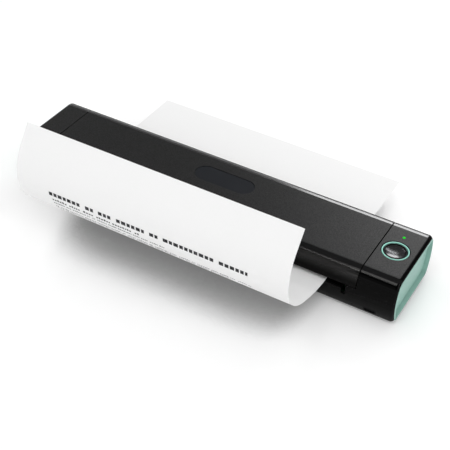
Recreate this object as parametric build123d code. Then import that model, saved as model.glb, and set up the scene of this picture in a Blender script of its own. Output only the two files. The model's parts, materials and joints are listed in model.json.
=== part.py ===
from build123d import *
from functools import cache
from math import atan2, cos, hypot, sin, sqrt, tau
import os

# Portable A4 thermal printer. Millimetres, +X to the right along the body, +Y to the back,
# +Z up. The origin is the centre of the printer's footprint, on the floor.

# --- Outer body ---------------------------------------------------------------------------
BODY_LENGTH = 310.0
FOOT_PROUD = 1.2          # how far the rubber feet hold the case off the floor
SIDE_HALF = 34.0          # half depth where the front and back bulge most
SIDE_RADIUS = 40.0        # radius of that bulge
SIDE_MID = 20.0           # height of the widest point
FRONT_TOP_ROUND = 8.5
BACK_TOP_ROUND = 5.0
BOTTOM_ROUND = 4.0
END_ROUND = 3.5
LEAST_ROUND = 0.6
WALL = 2.0
LEFT_BLOCK_LENGTH = 21.0
RIGHT_BLOCK_LENGTH = 29.0
BLOCK_INNER_WALL = 1.2
SEAM_GAP = 0.5            # gap between the cover and each end block
EDGE_BREAK = 0.3          # small round on the edges along each seam
PARTING_UNDER_LIP = 2.9   # from the slots' lower lip down to where the end blocks stand
PARTING_GAP = 0.2

# --- Clearances ---------------------------------------------------------------------------
RUN_CLEAR = 0.05          # radial, pin or shaft turning in a bore
FIT_CLEAR = 0.02          # radial, pieces that are fixed to each other
SLIDE_CLEAR = 0.15        # button and plunger in their bores
PART_CLEAR = 0.3          # between pieces that move past each other
SEAT_CLEAR = 0.1          # trim in its pocket

# --- End caps -----------------------------------------------------------------------------
CAP_INSET = 1.9           # black rim left round the cap
CAP_DEPTH = 4.5           # depth of the pocket that holds the cap
CAP_PROUD = 0.2
CAP_RIM = 1.0
CAP_EDGE = 0.25           # round on the rim
CAP_FLOOR = 1.5
BULKHEAD = 1.5            # wall behind the pocket

# --- Sheet path ---------------------------------------------------------------------------
SLOT_END_ROOM = 9.9       # from each end of the cover to the end of the slots
SHEET_SIDE_ROOM = 14.85   # slot left beside the sheet, on average
SHEET_OFFSET = 2.7        # sheet's middle to the right of the slots' middle
SHEET_THICKNESS = 0.15
SHEET_LEVEL = 19.3        # underside of the sheet in the flat part of its path
SHEET_BACK_EDGE = 98.0
LIP_UNDER_SHEET = 0.5
NOTCH_WIDTH = 3.05
NOTCH_DEPTH = 4.8
SHEET_TURNS = (           # corners of the curl: Y, height over the flat part, and radius
    (-45.8, 0.0, 80.0),
    (-79.2, 10.3, 45.0),
    (-94.9, 30.3, 32.0),
    (-94.9, 54.8, 38.0),
)
FREE_EDGE_Y = -79.0
FREE_EDGE_RISE = 77.1
GUIDE_THICKNESS = 2.0
GUIDE_UNDER_SHEET = 0.4
GUIDE_TO_HEAD = 0.6       # from a side plate's edge to the deck
GUIDE_RIB_WIDTH = 2.0
GUIDE_GROOVE_WIDTH = 6.0
GUIDE_GROOVE_DEPTH = 0.5
GUIDE_LEG_COUNT = 5
GUIDE_LEG_INSET = 12.0
FRONT_LEG_REACH = 4.0     # from the side plates' front edge to the front legs
REAR_LEG_REACH = 3.2      # from the side plates' back edge to the rear legs
SENSOR_FROM_LEG = 10.075  # from the fourth leg to the sensor
SENSOR_REACH = 8.0        # from the side plates' front edge to the sensor
SENSOR_LENGTH = 4.5
SENSOR_WIDTH = 3.4
SENSOR_FLANGE = 0.8

# --- Cover --------------------------------------------------------------------------------
COVER_WALL = 2.0
COVER_END_WALL = 1.6
FRONT_SLOT_ROOM = 3.45    # free height over the sheet in the front slot
BACK_SLOT_ROOM = 4.55
HINGE_INSET = 6.0         # from the widest point of the back to the hinge axis
HINGE_DEPTH = 10.0        # hinge axis below the top face
HINGE_PIN_RADIUS = 1.5
HINGE_PIN_LENGTH = 11.0
HINGE_BOSS_RADIUS = 3.3
HINGE_BOSS_LENGTH = 4.5
SHELF_BACK_RISE = 0.45    # back shelves over the sheet, under the sweep of the cover
DETENT_RADIUS = 1.2
DETENT_HEIGHT = 0.35
DETENT_INSET = 7.0
DETENT_DEPTH = 8.5        # detents below the top face
BADGE_LENGTH = 48.0
BADGE_WIDTH = 17.0
BADGE_OFFSET = 5.0        # badge's middle to the right of the slots' middle
BADGE_Y = 6.5
BADGE_THICKNESS = 0.8
BADGE_RECESS = 0.2
PLATEN_TO_FRAME = 0.95
COVER_FRAME_THICKNESS = 1.8
COVER_FRAME_DROP = 3.0    # height of the bosses between the cover and its frame
COVER_FRAME_REACH = 14.0  # from the platen's axis to the frame's front edge
COVER_FRAME_TO_HINGE = 10.0
COVER_SCREW_INSET = 11.85  # from each end of the slots
COVER_SCREW_EDGE = 3.5    # from the frame's front and back edges

# --- Platen roller ------------------------------------------------------------------------
PLATEN_Y = -8.0
PLATEN_RADIUS = 5.0
PLATEN_OVERHANG = 3.0     # rubber past each side of the sheet
PLATEN_CORE_RADIUS = 3.2
JOURNAL_RADIUS = 2.0
BUSH_RADIUS = 3.6
BUSH_LENGTH = 7.0
CHEEK_THICKNESS = 2.5
CHEEK_RADIUS = 4.8
CHEEK_STANDOFF = 2.5      # from a cheek to the side plate beside it

# --- Gears --------------------------------------------------------------------------------
GEAR_MODULE = 0.5
PLATEN_TEETH = 22
IDLER_TEETH = 26
PINION_TEETH = 12
GEAR_WIDTH = 4.0
GEAR_TO_WALL = 0.95       # from the cover's end wall to the gears
TOOTH_SHARE = 0.42        # tooth thickness at the pitch circle over the tooth pitch
TIP_SHARE = 0.5           # tooth thickness at the tip over that at the pitch circle
ROOT_SHARE = 1.45         # tooth thickness at the root over that at the pitch circle
ADDENDUM = 0.9            # in modules
DEDENDUM = 1.25           # in modules
IDLER_AXLE_RADIUS = 1.5
MOTOR_SHAFT_RADIUS = 1.0
MOTOR_FLOOR_ROOM = 1.1
MOTOR_END_ROOM = 0.8      # from the motor to the bulkhead
MOTOR_ROUND = 0.6
MOTOR_COLLAR_RADIUS = 3.0
MOTOR_SCREW_LENGTH = 3.0
GEAR_PLATE_THICKNESS = 1.0
GEAR_PLATE_ROOM = 1.75    # from the left block's inner wall to the gear plate
GEAR_PLATE_BACK_REACH = 11.6
GEAR_PLATE_TOP_REACH = 9.2

# --- Thermal head -------------------------------------------------------------------------
HEAD_OVERHANG = 2.0       # heat sink past each end of the ceramic
HEAD_FRONT_REACH = 6.5    # the reaches are measured from the platen's axis
HEAD_BACK_REACH = 8.5
HEAT_SINK_THICKNESS = 3.0
CERAMIC_THICKNESS = 1.0
CERAMIC_FRONT_REACH = 5.5
CERAMIC_BACK_REACH = 4.5
GLAZE_HEIGHT = 0.4
GLAZE_HALF_WIDTH = 0.9
GLAZE_ROUND = 0.36
CHIP_COVER_HEIGHT = 0.35
HEAD_PIVOT_INSET = 2.0    # from the heat sink's back edge
HEAD_PIN_RADIUS = 1.2
HEAD_PIN_GRIP = 6.0       # length of a pin inside the heat sink
SIDE_PLATE_THICKNESS = 1.0
SIDE_PLATE_GAP = 3.7      # from the heat sink's end to the side plate
SIDE_PLATE_FRONT_REACH = 8.0
SIDE_PLATE_BACK_REACH = 10.0
SIDE_PLATE_UNDER_AXIS = 0.75
SIDE_FOOT_WIDTH = 7.0
SPRING_COUNT = 4
SPRING_END_INSET = 29.0   # from each end of the heat sink to the nearest spring
SPRING_REACH = 2.0
SPRING_RADIUS = 2.4
SPRING_WIRE_RADIUS = 0.35
SPRING_TURNS = 6
SPRING_POST_RADIUS = 1.4
SPRING_POST_HEIGHT = 5.0

# --- Boards, battery and controls ---------------------------------------------------------
BOARD_THICKNESS = 1.2
BOARD_CLEAR = 0.5         # under the main board
BOARD_LENGTH = 55.5
BOARD_END_ROOM = 7.5      # from the end of the body
BOARD_FRONT_ROOM = 7.0    # from the widest point of the front
BOARD_BACK_ROOM = 11.0
BOARD_SCREW_EDGE = 9.0
BOARD_SCREW_BITE = 0.5
USB_FROM_END = 17.6
USB_WIDTH = 8.94
USB_HEIGHT = 3.2
USB_DEPTH = 7.4
USB_WALL = 0.3
USB_MARGIN = 0.25
USB_SINK = 0.3            # shell's mouth behind the case's surface
USB_TONGUE = 6.6
RESET_FROM_END = 30.7
RESET_HOLE_RADIUS = 0.6
RESET_PLUNGER_RADIUS = 0.5
RESET_HEIGHT = 0.95       # plunger axis above the board
RESET_TRAVEL = 0.25
RESET_GRIP = 0.8          # length of the plunger inside its switch
RESET_SWITCH_SIZE = 3.4
BATTERY_INSET = 25.85     # from the left end of the slots
CELL_LENGTH = 41.0
CELL_COUNT = 2
CELL_GAP = 1.0
BATTERY_FRONT_ROOM = 6.0  # from the side plates' back edge
BATTERY_BACK_ROOM = 7.5   # from the widest point of the back
BATTERY_HEADROOM = 4.2    # under the rear guide
CELL_ROUND = 1.8
BOARD_CHIPS = (           # place from the board's left front corner, length, width and height
    (11.0, 35.0, 9.0, 9.0, 1.0),
    (26.0, 39.0, 6.0, 6.0, 0.9),
    (5.0, 19.0, 12.0, 4.0, 1.8),
    (34.0, 19.0, 5.0, 5.0, 2.6),
    (36.0, 29.0, 4.0, 4.0, 0.9),
)
BUTTON_FROM_END = 16.4
BUTTON_Y = 0.2
BUTTON_RADIUS = 8.1
BUTTON_EDGE = 0.3
BUTTON_SINK = 0.3         # rim of the button below the top face
BUTTON_TRAVEL = 0.5
DISH_RADIUS = 7.5
DISH_DEPTH = 1.5
RING_INNER = 8.7
RING_OUTER = 9.6
RING_EDGE = 0.22
RING_SINK = 0.1
GROOVE_RADIUS = 10.2
GROOVE_DEPTH = 1.5
BUTTON_BOSS_RADIUS = 10.9
BUTTON_BOSS_DEPTH = 2.0
BUTTON_LEDGE_RADIUS = 9.1
BUTTON_LEDGE = 0.5
BUTTON_FLANGE_RADIUS = 9.9
BUTTON_FLANGE = 0.7
SWITCH_SIZE = 6.0
SWITCH_HEIGHT = 1.9
PLUNGER_RADIUS = 1.6
PLUNGER_PROUD = 0.8
STEM_LENGTH = 1.2
LIGHT_FROM_BUTTON_X = 0.3  # light to the left of the button's middle
LIGHT_FROM_BUTTON_Y = 15.9
LIGHT_RADIUS = 1.1
LIGHT_SLEEVE = 1.0
LED_SIZE = 1.6
LED_HEIGHT = 0.7
BUTTON_BOARD_LEFT_REACH = 9.6
BUTTON_BOARD_RIGHT_REACH = 8.9
BUTTON_BOARD_FRONT_REACH = 15.7
BUTTON_BOARD_PAST_LIGHT = 4.4
POST_RADIUS = 1.9
POST_INSET = 2.2
BUTTON_SCREW_LENGTH = 5.0

# --- Feet and screws ----------------------------------------------------------------------
FOOT_RADIUS = 5.0
FOOT_ROUND = 0.4
FOOT_FROM_END = 23.0
FOOT_FROM_SIDE = 16.5
FOOT_RECESS = 0.8
CASE_SCREW_FROM_END = 9.5
CASE_SCREW_FROM_SIDE = 11.0
CASE_SCREW_BITE = 6.3     # length of a case screw above the parting line
CASE_POST_RADIUS = 3.2
SCREW_RADIUS = 1.2
SCREW_HEAD_RADIUS = 2.3
SCREW_HEAD_HEIGHT = 1.2
SMALL_SCREW_RADIUS = 0.8
SMALL_HEAD_RADIUS = 1.5
SMALL_HEAD_HEIGHT = 0.8
PLATE_POST_HEIGHT = 2.0

# --- Lengthwise places worked out from the sizes above ------------------------------------
HALF_LENGTH = BODY_LENGTH / 2
CAVITY_HALF = HALF_LENGTH - CAP_DEPTH - BULKHEAD
LEFT_SEAM = LEFT_BLOCK_LENGTH - HALF_LENGTH
RIGHT_SEAM = HALF_LENGTH - RIGHT_BLOCK_LENGTH
COVER_LEFT = LEFT_SEAM + SEAM_GAP / 2
COVER_RIGHT = RIGHT_SEAM - SEAM_GAP / 2
BLOCK_LEFT_FACE = LEFT_SEAM - SEAM_GAP / 2
BLOCK_RIGHT_FACE = RIGHT_SEAM + SEAM_GAP / 2
SLOT_LEFT = COVER_LEFT + SLOT_END_ROOM
SLOT_RIGHT = COVER_RIGHT - SLOT_END_ROOM
SLOT_CENTRE = (SLOT_LEFT + SLOT_RIGHT) / 2
SHEET_CENTRE = SLOT_CENTRE + SHEET_OFFSET
SHEET_WIDTH = SLOT_RIGHT - SLOT_LEFT - 2 * SHEET_SIDE_ROOM
PLATEN_LENGTH = SHEET_WIDTH + 2 * PLATEN_OVERHANG
HEAD_LENGTH = PLATEN_LENGTH + 2 * HEAD_OVERHANG
HEAD_LEFT = SHEET_CENTRE - HEAD_LENGTH / 2
HEAD_RIGHT = SHEET_CENTRE + HEAD_LENGTH / 2
SPRING_PITCH_X = (HEAD_LENGTH - 2 * SPRING_END_INSET) / (SPRING_COUNT - 1)
SIDE_PLATE_LEFT = HEAD_LEFT - SIDE_PLATE_GAP - SIDE_PLATE_THICKNESS
SIDE_PLATE_RIGHT = HEAD_RIGHT + SIDE_PLATE_GAP
CHEEK_LEFT = SIDE_PLATE_LEFT - CHEEK_STANDOFF - CHEEK_THICKNESS
CHEEK_RIGHT = SIDE_PLATE_RIGHT + SIDE_PLATE_THICKNESS + CHEEK_STANDOFF
GEAR_LEFT = COVER_LEFT + COVER_END_WALL + GEAR_TO_WALL
GEAR_RIGHT = GEAR_LEFT + GEAR_WIDTH
GEAR_PLATE_RIGHT = BLOCK_LEFT_FACE - BLOCK_INNER_WALL - GEAR_PLATE_ROOM
MOTOR_LENGTH = GEAR_PLATE_RIGHT - GEAR_PLATE_THICKNESS + CAVITY_HALF - MOTOR_END_ROOM
BADGE_X = SLOT_CENTRE + BADGE_OFFSET
BOARD_RIGHT = HALF_LENGTH - BOARD_END_ROOM
BOARD_LEFT = BOARD_RIGHT - BOARD_LENGTH
USB_X = HALF_LENGTH - USB_FROM_END
RESET_X = HALF_LENGTH - RESET_FROM_END
BATTERY_LEFT = SLOT_LEFT + BATTERY_INSET
BUTTON_X = HALF_LENGTH - BUTTON_FROM_END
LIGHT_X = BUTTON_X - LIGHT_FROM_BUTTON_X
BUTTON_BOARD_LEFT = BUTTON_X - BUTTON_BOARD_LEFT_REACH
BUTTON_BOARD_RIGHT = BUTTON_X + BUTTON_BOARD_RIGHT_REACH
FOOT_X = HALF_LENGTH - FOOT_FROM_END
CASE_SCREW_X = HALF_LENGTH - CASE_SCREW_FROM_END
REACH = 2 * BODY_LENGTH   # longer than anything that it cuts

# --- Levels -------------------------------------------------------------------------------
CASE_BOTTOM = FOOT_PROUD
FLOOR_TOP = CASE_BOTTOM + WALL
SHEET_TOP = SHEET_LEVEL + SHEET_THICKNESS
SLOT_LIP = SHEET_LEVEL - LIP_UNDER_SHEET
NOTCH_FLOOR = SLOT_LIP - NOTCH_DEPTH
PARTING = SLOT_LIP - PARTING_UNDER_LIP
GUIDE_TOP = SHEET_LEVEL - GUIDE_UNDER_SHEET
COVER_FRONT_EDGE = SHEET_TOP + FRONT_SLOT_ROOM
COVER_BACK_EDGE = SHEET_TOP + BACK_SLOT_ROOM
SHELF_BACK_TOP = SHEET_TOP + SHELF_BACK_RISE
PLATEN_Z = SHEET_TOP + PART_CLEAR + PLATEN_RADIUS
COVER_FRAME_BOTTOM = PLATEN_Z + PLATEN_RADIUS + PLATEN_TO_FRAME
COVER_FRAME_TOP = COVER_FRAME_BOTTOM + COVER_FRAME_THICKNESS
CEILING = COVER_FRAME_TOP + COVER_FRAME_DROP
BODY_TOP = CEILING + COVER_WALL
HINGE_Z = BODY_TOP - HINGE_DEPTH
DETENT_Z = BODY_TOP - DETENT_DEPTH
GLAZE_TOP = SHEET_LEVEL - PART_CLEAR
CERAMIC_TOP = GLAZE_TOP - GLAZE_HEIGHT
CERAMIC_BOTTOM = CERAMIC_TOP - CERAMIC_THICKNESS
HEAT_SINK_BOTTOM = CERAMIC_BOTTOM - HEAT_SINK_THICKNESS
HEAD_PIVOT_Z = CERAMIC_BOTTOM - HEAT_SINK_THICKNESS / 2
SIDE_PLATE_TOP = PLATEN_Z - SIDE_PLATE_UNDER_AXIS
BATTERY_HEIGHT = GUIDE_TOP - GUIDE_THICKNESS - FLOOR_TOP - BATTERY_HEADROOM
CASE_SCREW_LENGTH = PARTING - FLOOR_TOP + CASE_SCREW_BITE
BOARD_BOTTOM = FLOOR_TOP + BOARD_CLEAR
BOARD_TOP = BOARD_BOTTOM + BOARD_THICKNESS
BUTTON_TOP = BODY_TOP - BUTTON_SINK
BOSS_BOTTOM = CEILING - BUTTON_BOSS_DEPTH
FLANGE_TOP = BOSS_BOTTOM - PART_CLEAR
STEM_BOTTOM = FLANGE_TOP - BUTTON_FLANGE - STEM_LENGTH
BUTTON_BOARD_TOP = STEM_BOTTOM - PLUNGER_PROUD - SWITCH_HEIGHT

# --- Places from front to back ------------------------------------------------------------
HINGE_Y = SIDE_HALF - HINGE_INSET
DETENT_Y = DETENT_INSET - SIDE_HALF
HEAD_FRONT = PLATEN_Y - HEAD_FRONT_REACH
HEAD_BACK = PLATEN_Y + HEAD_BACK_REACH
HEAD_PIVOT_Y = HEAD_BACK - HEAD_PIVOT_INSET
CERAMIC_FRONT = PLATEN_Y - CERAMIC_FRONT_REACH
CERAMIC_BACK = PLATEN_Y + CERAMIC_BACK_REACH
SPRING_Y = PLATEN_Y - SPRING_REACH
SIDE_PLATE_FRONT = PLATEN_Y - SIDE_PLATE_FRONT_REACH
SIDE_PLATE_BACK = PLATEN_Y + SIDE_PLATE_BACK_REACH
FRONT_LEG_Y = SIDE_PLATE_FRONT - FRONT_LEG_REACH
REAR_LEG_Y = SIDE_PLATE_BACK + REAR_LEG_REACH
SENSOR_Y = SIDE_PLATE_FRONT - SENSOR_REACH
COVER_FRAME_FRONT = PLATEN_Y - COVER_FRAME_REACH
COVER_FRAME_BACK = HINGE_Y - COVER_FRAME_TO_HINGE
BATTERY_FRONT = SIDE_PLATE_BACK + BATTERY_FRONT_ROOM
BATTERY_BACK = SIDE_HALF - BATTERY_BACK_ROOM
BOARD_FRONT = BOARD_FRONT_ROOM - SIDE_HALF
BOARD_BACK = SIDE_HALF - BOARD_BACK_ROOM
BOARD_SCREW_Y = BOARD_BACK - BOARD_SCREW_EDGE
LIGHT_Y = BUTTON_Y + LIGHT_FROM_BUTTON_Y
BUTTON_BOARD_FRONT = BUTTON_Y - BUTTON_BOARD_FRONT_REACH
BUTTON_BOARD_BACK = LIGHT_Y + BUTTON_BOARD_PAST_LIGHT
FOOT_Y = SIDE_HALF - FOOT_FROM_SIDE
CASE_SCREW_Y = SIDE_HALF - CASE_SCREW_FROM_SIDE

# --- Gear train ---------------------------------------------------------------------------
IDLER_DISTANCE = GEAR_MODULE * (PLATEN_TEETH + IDLER_TEETH) / 2
PINION_DISTANCE = GEAR_MODULE * (IDLER_TEETH + PINION_TEETH) / 2
# The idler lies straight against the way in which the opening cover lifts the platen gear.
LIFT_Y = PLATEN_Z - HINGE_Z
LIFT_Z = HINGE_Y - PLATEN_Y
LIFT = hypot(LIFT_Y, LIFT_Z)
IDLER_Y = PLATEN_Y - IDLER_DISTANCE * LIFT_Y / LIFT
IDLER_Z = PLATEN_Z - IDLER_DISTANCE * LIFT_Z / LIFT
PINION_Y = IDLER_Y + PINION_DISTANCE
PINION_Z = IDLER_Z
MOTOR_RADIUS = PINION_Z - FLOOR_TOP - MOTOR_FLOOR_ROOM
GEAR_PLATE_BACK = PINION_Y + GEAR_PLATE_BACK_REACH
GEAR_PLATE_TOP = IDLER_Z + GEAR_PLATE_TOP_REACH


# --- Helpers ------------------------------------------------------------------------------
def block(low, high):
    """A box between two opposite corners."""
    size = [abs(b - a) for a, b in zip(low, high)]
    middle = [(a + b) / 2 for a, b in zip(low, high)]
    return Pos(*middle) * Box(*size)


def along_x(sketch, start, end):
    """A sketch drawn in Y and Z, drawn out along X."""
    return extrude(Plane.YZ.offset(start) * sketch, amount=end - start)


def rod_x(radius, start, end, y, z):
    return along_x(Pos(y, z) * Circle(radius), start, end)


def rod_z(radius, x, y, bottom, top):
    return extrude(Pos(x, y, bottom) * Circle(radius), amount=top - bottom)


def rod_y(radius, x, z, front, back):
    """A rod along Y, from its front end to its back end."""
    turned = Plane(origin=(x, front, z), x_dir=(1, 0, 0), z_dir=(0, 1, 0))
    return extrude(turned * Circle(radius), amount=back - front)


def all_of(solids):
    """Separate solids kept together in one node."""
    return Compound(children=list(solids))


def side_depth(height, inset=0.0):
    """Half depth of the body's section at a height."""
    radius = SIDE_RADIUS - inset
    return SIDE_HALF - SIDE_RADIUS + sqrt(radius**2 - (height - SIDE_MID)**2)


def body_outline(inset=0.0):
    """The barrel-shaped section of the body, drawn in Y and Z."""
    top = BODY_TOP - inset
    bottom = CASE_BOTTOM + inset
    top_half = side_depth(top, inset)
    bottom_half = side_depth(bottom, inset)
    widest = SIDE_HALF - inset
    edges = [
        Line((-top_half, top), (top_half, top)),
        ThreePointArc((top_half, top), (widest, SIDE_MID), (bottom_half, bottom)),
        Line((bottom_half, bottom), (-bottom_half, bottom)),
        ThreePointArc((-bottom_half, bottom), (-widest, SIDE_MID), (-top_half, top)),
    ]
    outline = make_face(Curve() + edges)
    front_top = outline.vertices().group_by(Axis.Y)[-1].sort_by(Axis.X)[0]
    outline = fillet(front_top, max(FRONT_TOP_ROUND - inset, LEAST_ROUND))
    back_top = outline.vertices().group_by(Axis.Y)[-1].sort_by(Axis.X)[-1]
    outline = fillet(back_top, max(BACK_TOP_ROUND - inset, LEAST_ROUND))
    return fillet(outline.vertices().group_by(Axis.Y)[0], max(BOTTOM_ROUND - inset, LEAST_ROUND))


@cache
def body_solid():
    """The whole outer shape, with rounded ends."""
    solid = along_x(body_outline(), -HALF_LENGTH, HALF_LENGTH)
    return fillet(solid.faces().filter_by(Axis.X).edges(), END_ROUND)


@cache
def body_shell():
    """Outer walls with a bulkhead near each end and a pocket for each end cap."""
    shell = body_solid() - along_x(body_outline(WALL), -CAVITY_HALF, CAVITY_HALF)
    pocket = body_outline(CAP_INSET)
    shell -= along_x(pocket, HALF_LENGTH - CAP_DEPTH, HALF_LENGTH + CAP_PROUD)
    return shell - along_x(pocket, -HALF_LENGTH - CAP_PROUD, CAP_DEPTH - HALF_LENGTH)


def screw(radius, length, head_radius, head_height, place, downwards=True):
    """A pan-head screw. Place is where the head's underside bears."""
    x, y, z = place
    way = -1 if downwards else 1
    shank = rod_z(radius, x, y, z, z + way * length)
    head = rod_z(head_radius, x, y, z, z - way * head_height)
    slot_depth = head_height / 2
    slot_width = slot_depth / 2
    slot = Pos(x, y, z - way * head_height) * Box(2 * head_radius, slot_width, slot_depth)
    return shank + head - slot


def small_screw(place, length, downwards=True):
    return screw(SMALL_SCREW_RADIUS, length, SMALL_HEAD_RADIUS, SMALL_HEAD_HEIGHT, place, downwards)


# --- Base: case, end blocks and trim ------------------------------------------------------
def case_screw_places():
    return [(x, y) for x in (-CASE_SCREW_X, CASE_SCREW_X) for y in (-CASE_SCREW_Y, CASE_SCREW_Y)]


def foot_places():
    return [(x, y) for x in (-FOOT_X, FOOT_X) for y in (-FOOT_Y, FOOT_Y)]


def side_foot_screws():
    """Screw places in the feet of the two side plates."""
    left = SIDE_PLATE_LEFT - SIDE_FOOT_WIDTH / 2
    right = SIDE_PLATE_RIGHT + SIDE_PLATE_THICKNESS + SIDE_FOOT_WIDTH / 2
    ys = (SIDE_PLATE_FRONT + POST_INSET, SIDE_PLATE_BACK - POST_INSET)
    return [(x, y) for x in (left, right) for y in ys]


def gear_foot_screws():
    x = GEAR_PLATE_RIGHT - GEAR_PLATE_THICKNESS - SIDE_FOOT_WIDTH / 2
    return [(x, SIDE_PLATE_FRONT + POST_INSET), (x, GEAR_PLATE_BACK - POST_INSET)]


def board_screw_places():
    xs = (BOARD_LEFT + POST_INSET, BOARD_RIGHT - POST_INSET)
    return [(x, y) for x in xs for y in (-BOARD_SCREW_Y, BOARD_SCREW_Y)]


def spring_places():
    first = SHEET_CENTRE - SPRING_PITCH_X * (SPRING_COUNT - 1) / 2
    return [(first + i * SPRING_PITCH_X, SPRING_Y) for i in range(SPRING_COUNT)]


def guide_leg_places(y):
    first = SLOT_LEFT + GUIDE_LEG_INSET
    pitch = (SLOT_RIGHT - SLOT_LEFT - 2 * GUIDE_LEG_INSET) / (GUIDE_LEG_COUNT - 1)
    return [(first + i * pitch, y) for i in range(GUIDE_LEG_COUNT)]


def sensor_x():
    return guide_leg_places(FRONT_LEG_Y)[3][0] + SENSOR_FROM_LEG


def usb_plane(y):
    return Plane(origin=(USB_X, y, BOARD_TOP + USB_HEIGHT / 2), x_dir=(1, 0, 0), z_dir=(0, 1, 0))


def usb_outline(margin):
    """Rounded outline of the USB-C shell, drawn in X and Z."""
    height = USB_HEIGHT + 2 * margin
    return SlotOverall(USB_WIDTH + 2 * margin, height)


def lower_case():
    keep = block((-REACH, -REACH, 0), (REACH, REACH, PARTING))
    keep += block((SLOT_LEFT, -REACH, 0), (SLOT_RIGHT, REACH, SLOT_LIP))
    for x in (SLOT_LEFT - NOTCH_WIDTH, SLOT_RIGHT):
        keep -= block((x, -REACH, NOTCH_FLOOR), (x + NOTCH_WIDTH, 0, REACH))
    case = body_shell() & keep
    root = FLOOR_TOP - WALL / 2
    for x, y in case_screw_places():
        case += rod_z(CASE_POST_RADIUS, x, y, root, PARTING)
        case -= rod_z(SCREW_RADIUS + SLIDE_CLEAR, x, y, 0, PARTING)
        case -= rod_z(SCREW_HEAD_RADIUS + SLIDE_CLEAR, x, y, 0, FLOOR_TOP)
    for x, y in foot_places():
        case -= rod_z(FOOT_RADIUS + SEAT_CLEAR, x, y, 0, CASE_BOTTOM + FOOT_RECESS)
    for x, y in side_foot_screws() + gear_foot_screws():
        case += rod_z(POST_RADIUS, x, y, root, FLOOR_TOP + PLATE_POST_HEIGHT)
    for x, y in board_screw_places():
        case += rod_z(POST_RADIUS, x, y, root, BOARD_BOTTOM)
    for x, y in side_foot_screws() + gear_foot_screws() + board_screw_places():
        case -= rod_z(SMALL_SCREW_RADIUS + FIT_CLEAR, x, y, root, FLOOR_TOP + PLATE_POST_HEIGHT)
    for x, y in spring_places():
        case += rod_z(SPRING_POST_RADIUS, x, y, root, FLOOR_TOP + SPRING_POST_HEIGHT)
    case -= rod_y(RESET_HOLE_RADIUS, RESET_X, BOARD_TOP + RESET_HEIGHT, -REACH, BOARD_FRONT)
    return case - extrude(usb_plane(-REACH) * usb_outline(USB_MARGIN), amount=REACH + BOARD_FRONT)


def block_form(side):
    """Outer form of one end block: side is -1 for the left block and 1 for the right."""
    low = PARTING + PARTING_GAP
    face = BLOCK_LEFT_FACE if side < 0 else BLOCK_RIGHT_FACE
    form = body_solid() & block((face, -REACH, low), (side * REACH, REACH, REACH))
    seam_face = form.faces().filter_by(Axis.X).sort_by(Axis.X)[-1 if side < 0 else 0]
    return fillet(seam_face.edges().sort_by(Axis.Z)[1:], EDGE_BREAK)


def block_shelves(side):
    """Short shelves under the cover's edges, between the slots and the end block."""
    low = PARTING + PARTING_GAP
    if side < 0:
        start, end = BLOCK_LEFT_FACE - WALL, SLOT_LEFT - NOTCH_WIDTH
    else:
        start, end = SLOT_RIGHT + NOTCH_WIDTH, BLOCK_RIGHT_FACE + WALL
    front = block((start, -REACH, low), (end, 0, COVER_FRONT_EDGE - PART_CLEAR))
    return front + block((start, 0, low), (end, REACH, SHELF_BACK_TOP))


def end_block(side):
    """One end block with its inner wall, hinge bore, detent hollow and screw bosses."""
    face = BLOCK_LEFT_FACE if side < 0 else BLOCK_RIGHT_FACE
    inner_wall = along_x(body_outline(WALL / 2), face, face + side * BLOCK_INNER_WALL)
    piece = (body_shell() + inner_wall) & block_form(side)
    piece += body_shell() & block_shelves(side)
    boss_end = face + side * HINGE_BOSS_LENGTH
    piece += rod_x(HINGE_BOSS_RADIUS, face, boss_end, HINGE_Y, HINGE_Z)
    piece -= rod_x(HINGE_PIN_RADIUS + RUN_CLEAR, face - side, boss_end + side, HINGE_Y, HINGE_Z)
    dimple_end = face + side * (DETENT_HEIGHT + PART_CLEAR)
    piece -= rod_x(DETENT_RADIUS + PART_CLEAR, face - side, dimple_end, DETENT_Y, DETENT_Z)
    low = PARTING + PARTING_GAP
    top = FLOOR_TOP + CASE_SCREW_LENGTH + SCREW_RADIUS
    for x, y in case_screw_places():
        if x * side > 0:
            wall_y = (SIDE_HALF - WALL / 2) * (1 if y > 0 else -1)
            piece += rod_z(CASE_POST_RADIUS, x, y, low, top)
            piece += block((x - WALL / 2, y, low), (x + WALL / 2, wall_y, top))
            piece -= rod_z(SCREW_RADIUS + FIT_CLEAR, x, y, 0, top - SCREW_RADIUS / 2)
    return piece


def left_end_block():
    return end_block(-1)


def button_board_posts():
    xs = (BUTTON_BOARD_LEFT + POST_INSET, BUTTON_BOARD_RIGHT - POST_INSET)
    ys = (BUTTON_BOARD_FRONT + POST_INSET, BUTTON_BOARD_BACK - POST_INSET)
    return [(x, y) for x in xs for y in ys]


def right_end_block():
    """The right block also carries the button, its ring, the light and their board."""
    piece = end_block(1)
    root = CEILING + WALL / 2
    piece += rod_z(BUTTON_BOSS_RADIUS, BUTTON_X, BUTTON_Y, BOSS_BOTTOM, root)
    piece += rod_z(LIGHT_RADIUS + LIGHT_SLEEVE, LIGHT_X, LIGHT_Y, BOSS_BOTTOM, root)
    for x, y in button_board_posts():
        piece += rod_z(POST_RADIUS, x, y, BUTTON_BOARD_TOP, root)
        piece -= rod_z(SMALL_SCREW_RADIUS + FIT_CLEAR, x, y, 0, CEILING - WALL / 2)
    piece -= rod_z(GROOVE_RADIUS, BUTTON_X, BUTTON_Y, BODY_TOP - GROOVE_DEPTH, REACH)
    piece -= rod_z(RING_OUTER + FIT_CLEAR, BUTTON_X, BUTTON_Y, BOSS_BOTTOM + BUTTON_LEDGE, REACH)
    piece -= rod_z(BUTTON_LEDGE_RADIUS, BUTTON_X, BUTTON_Y, 0, REACH)
    return piece - rod_z(LIGHT_RADIUS + FIT_CLEAR, LIGHT_X, LIGHT_Y, 0, REACH)


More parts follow.
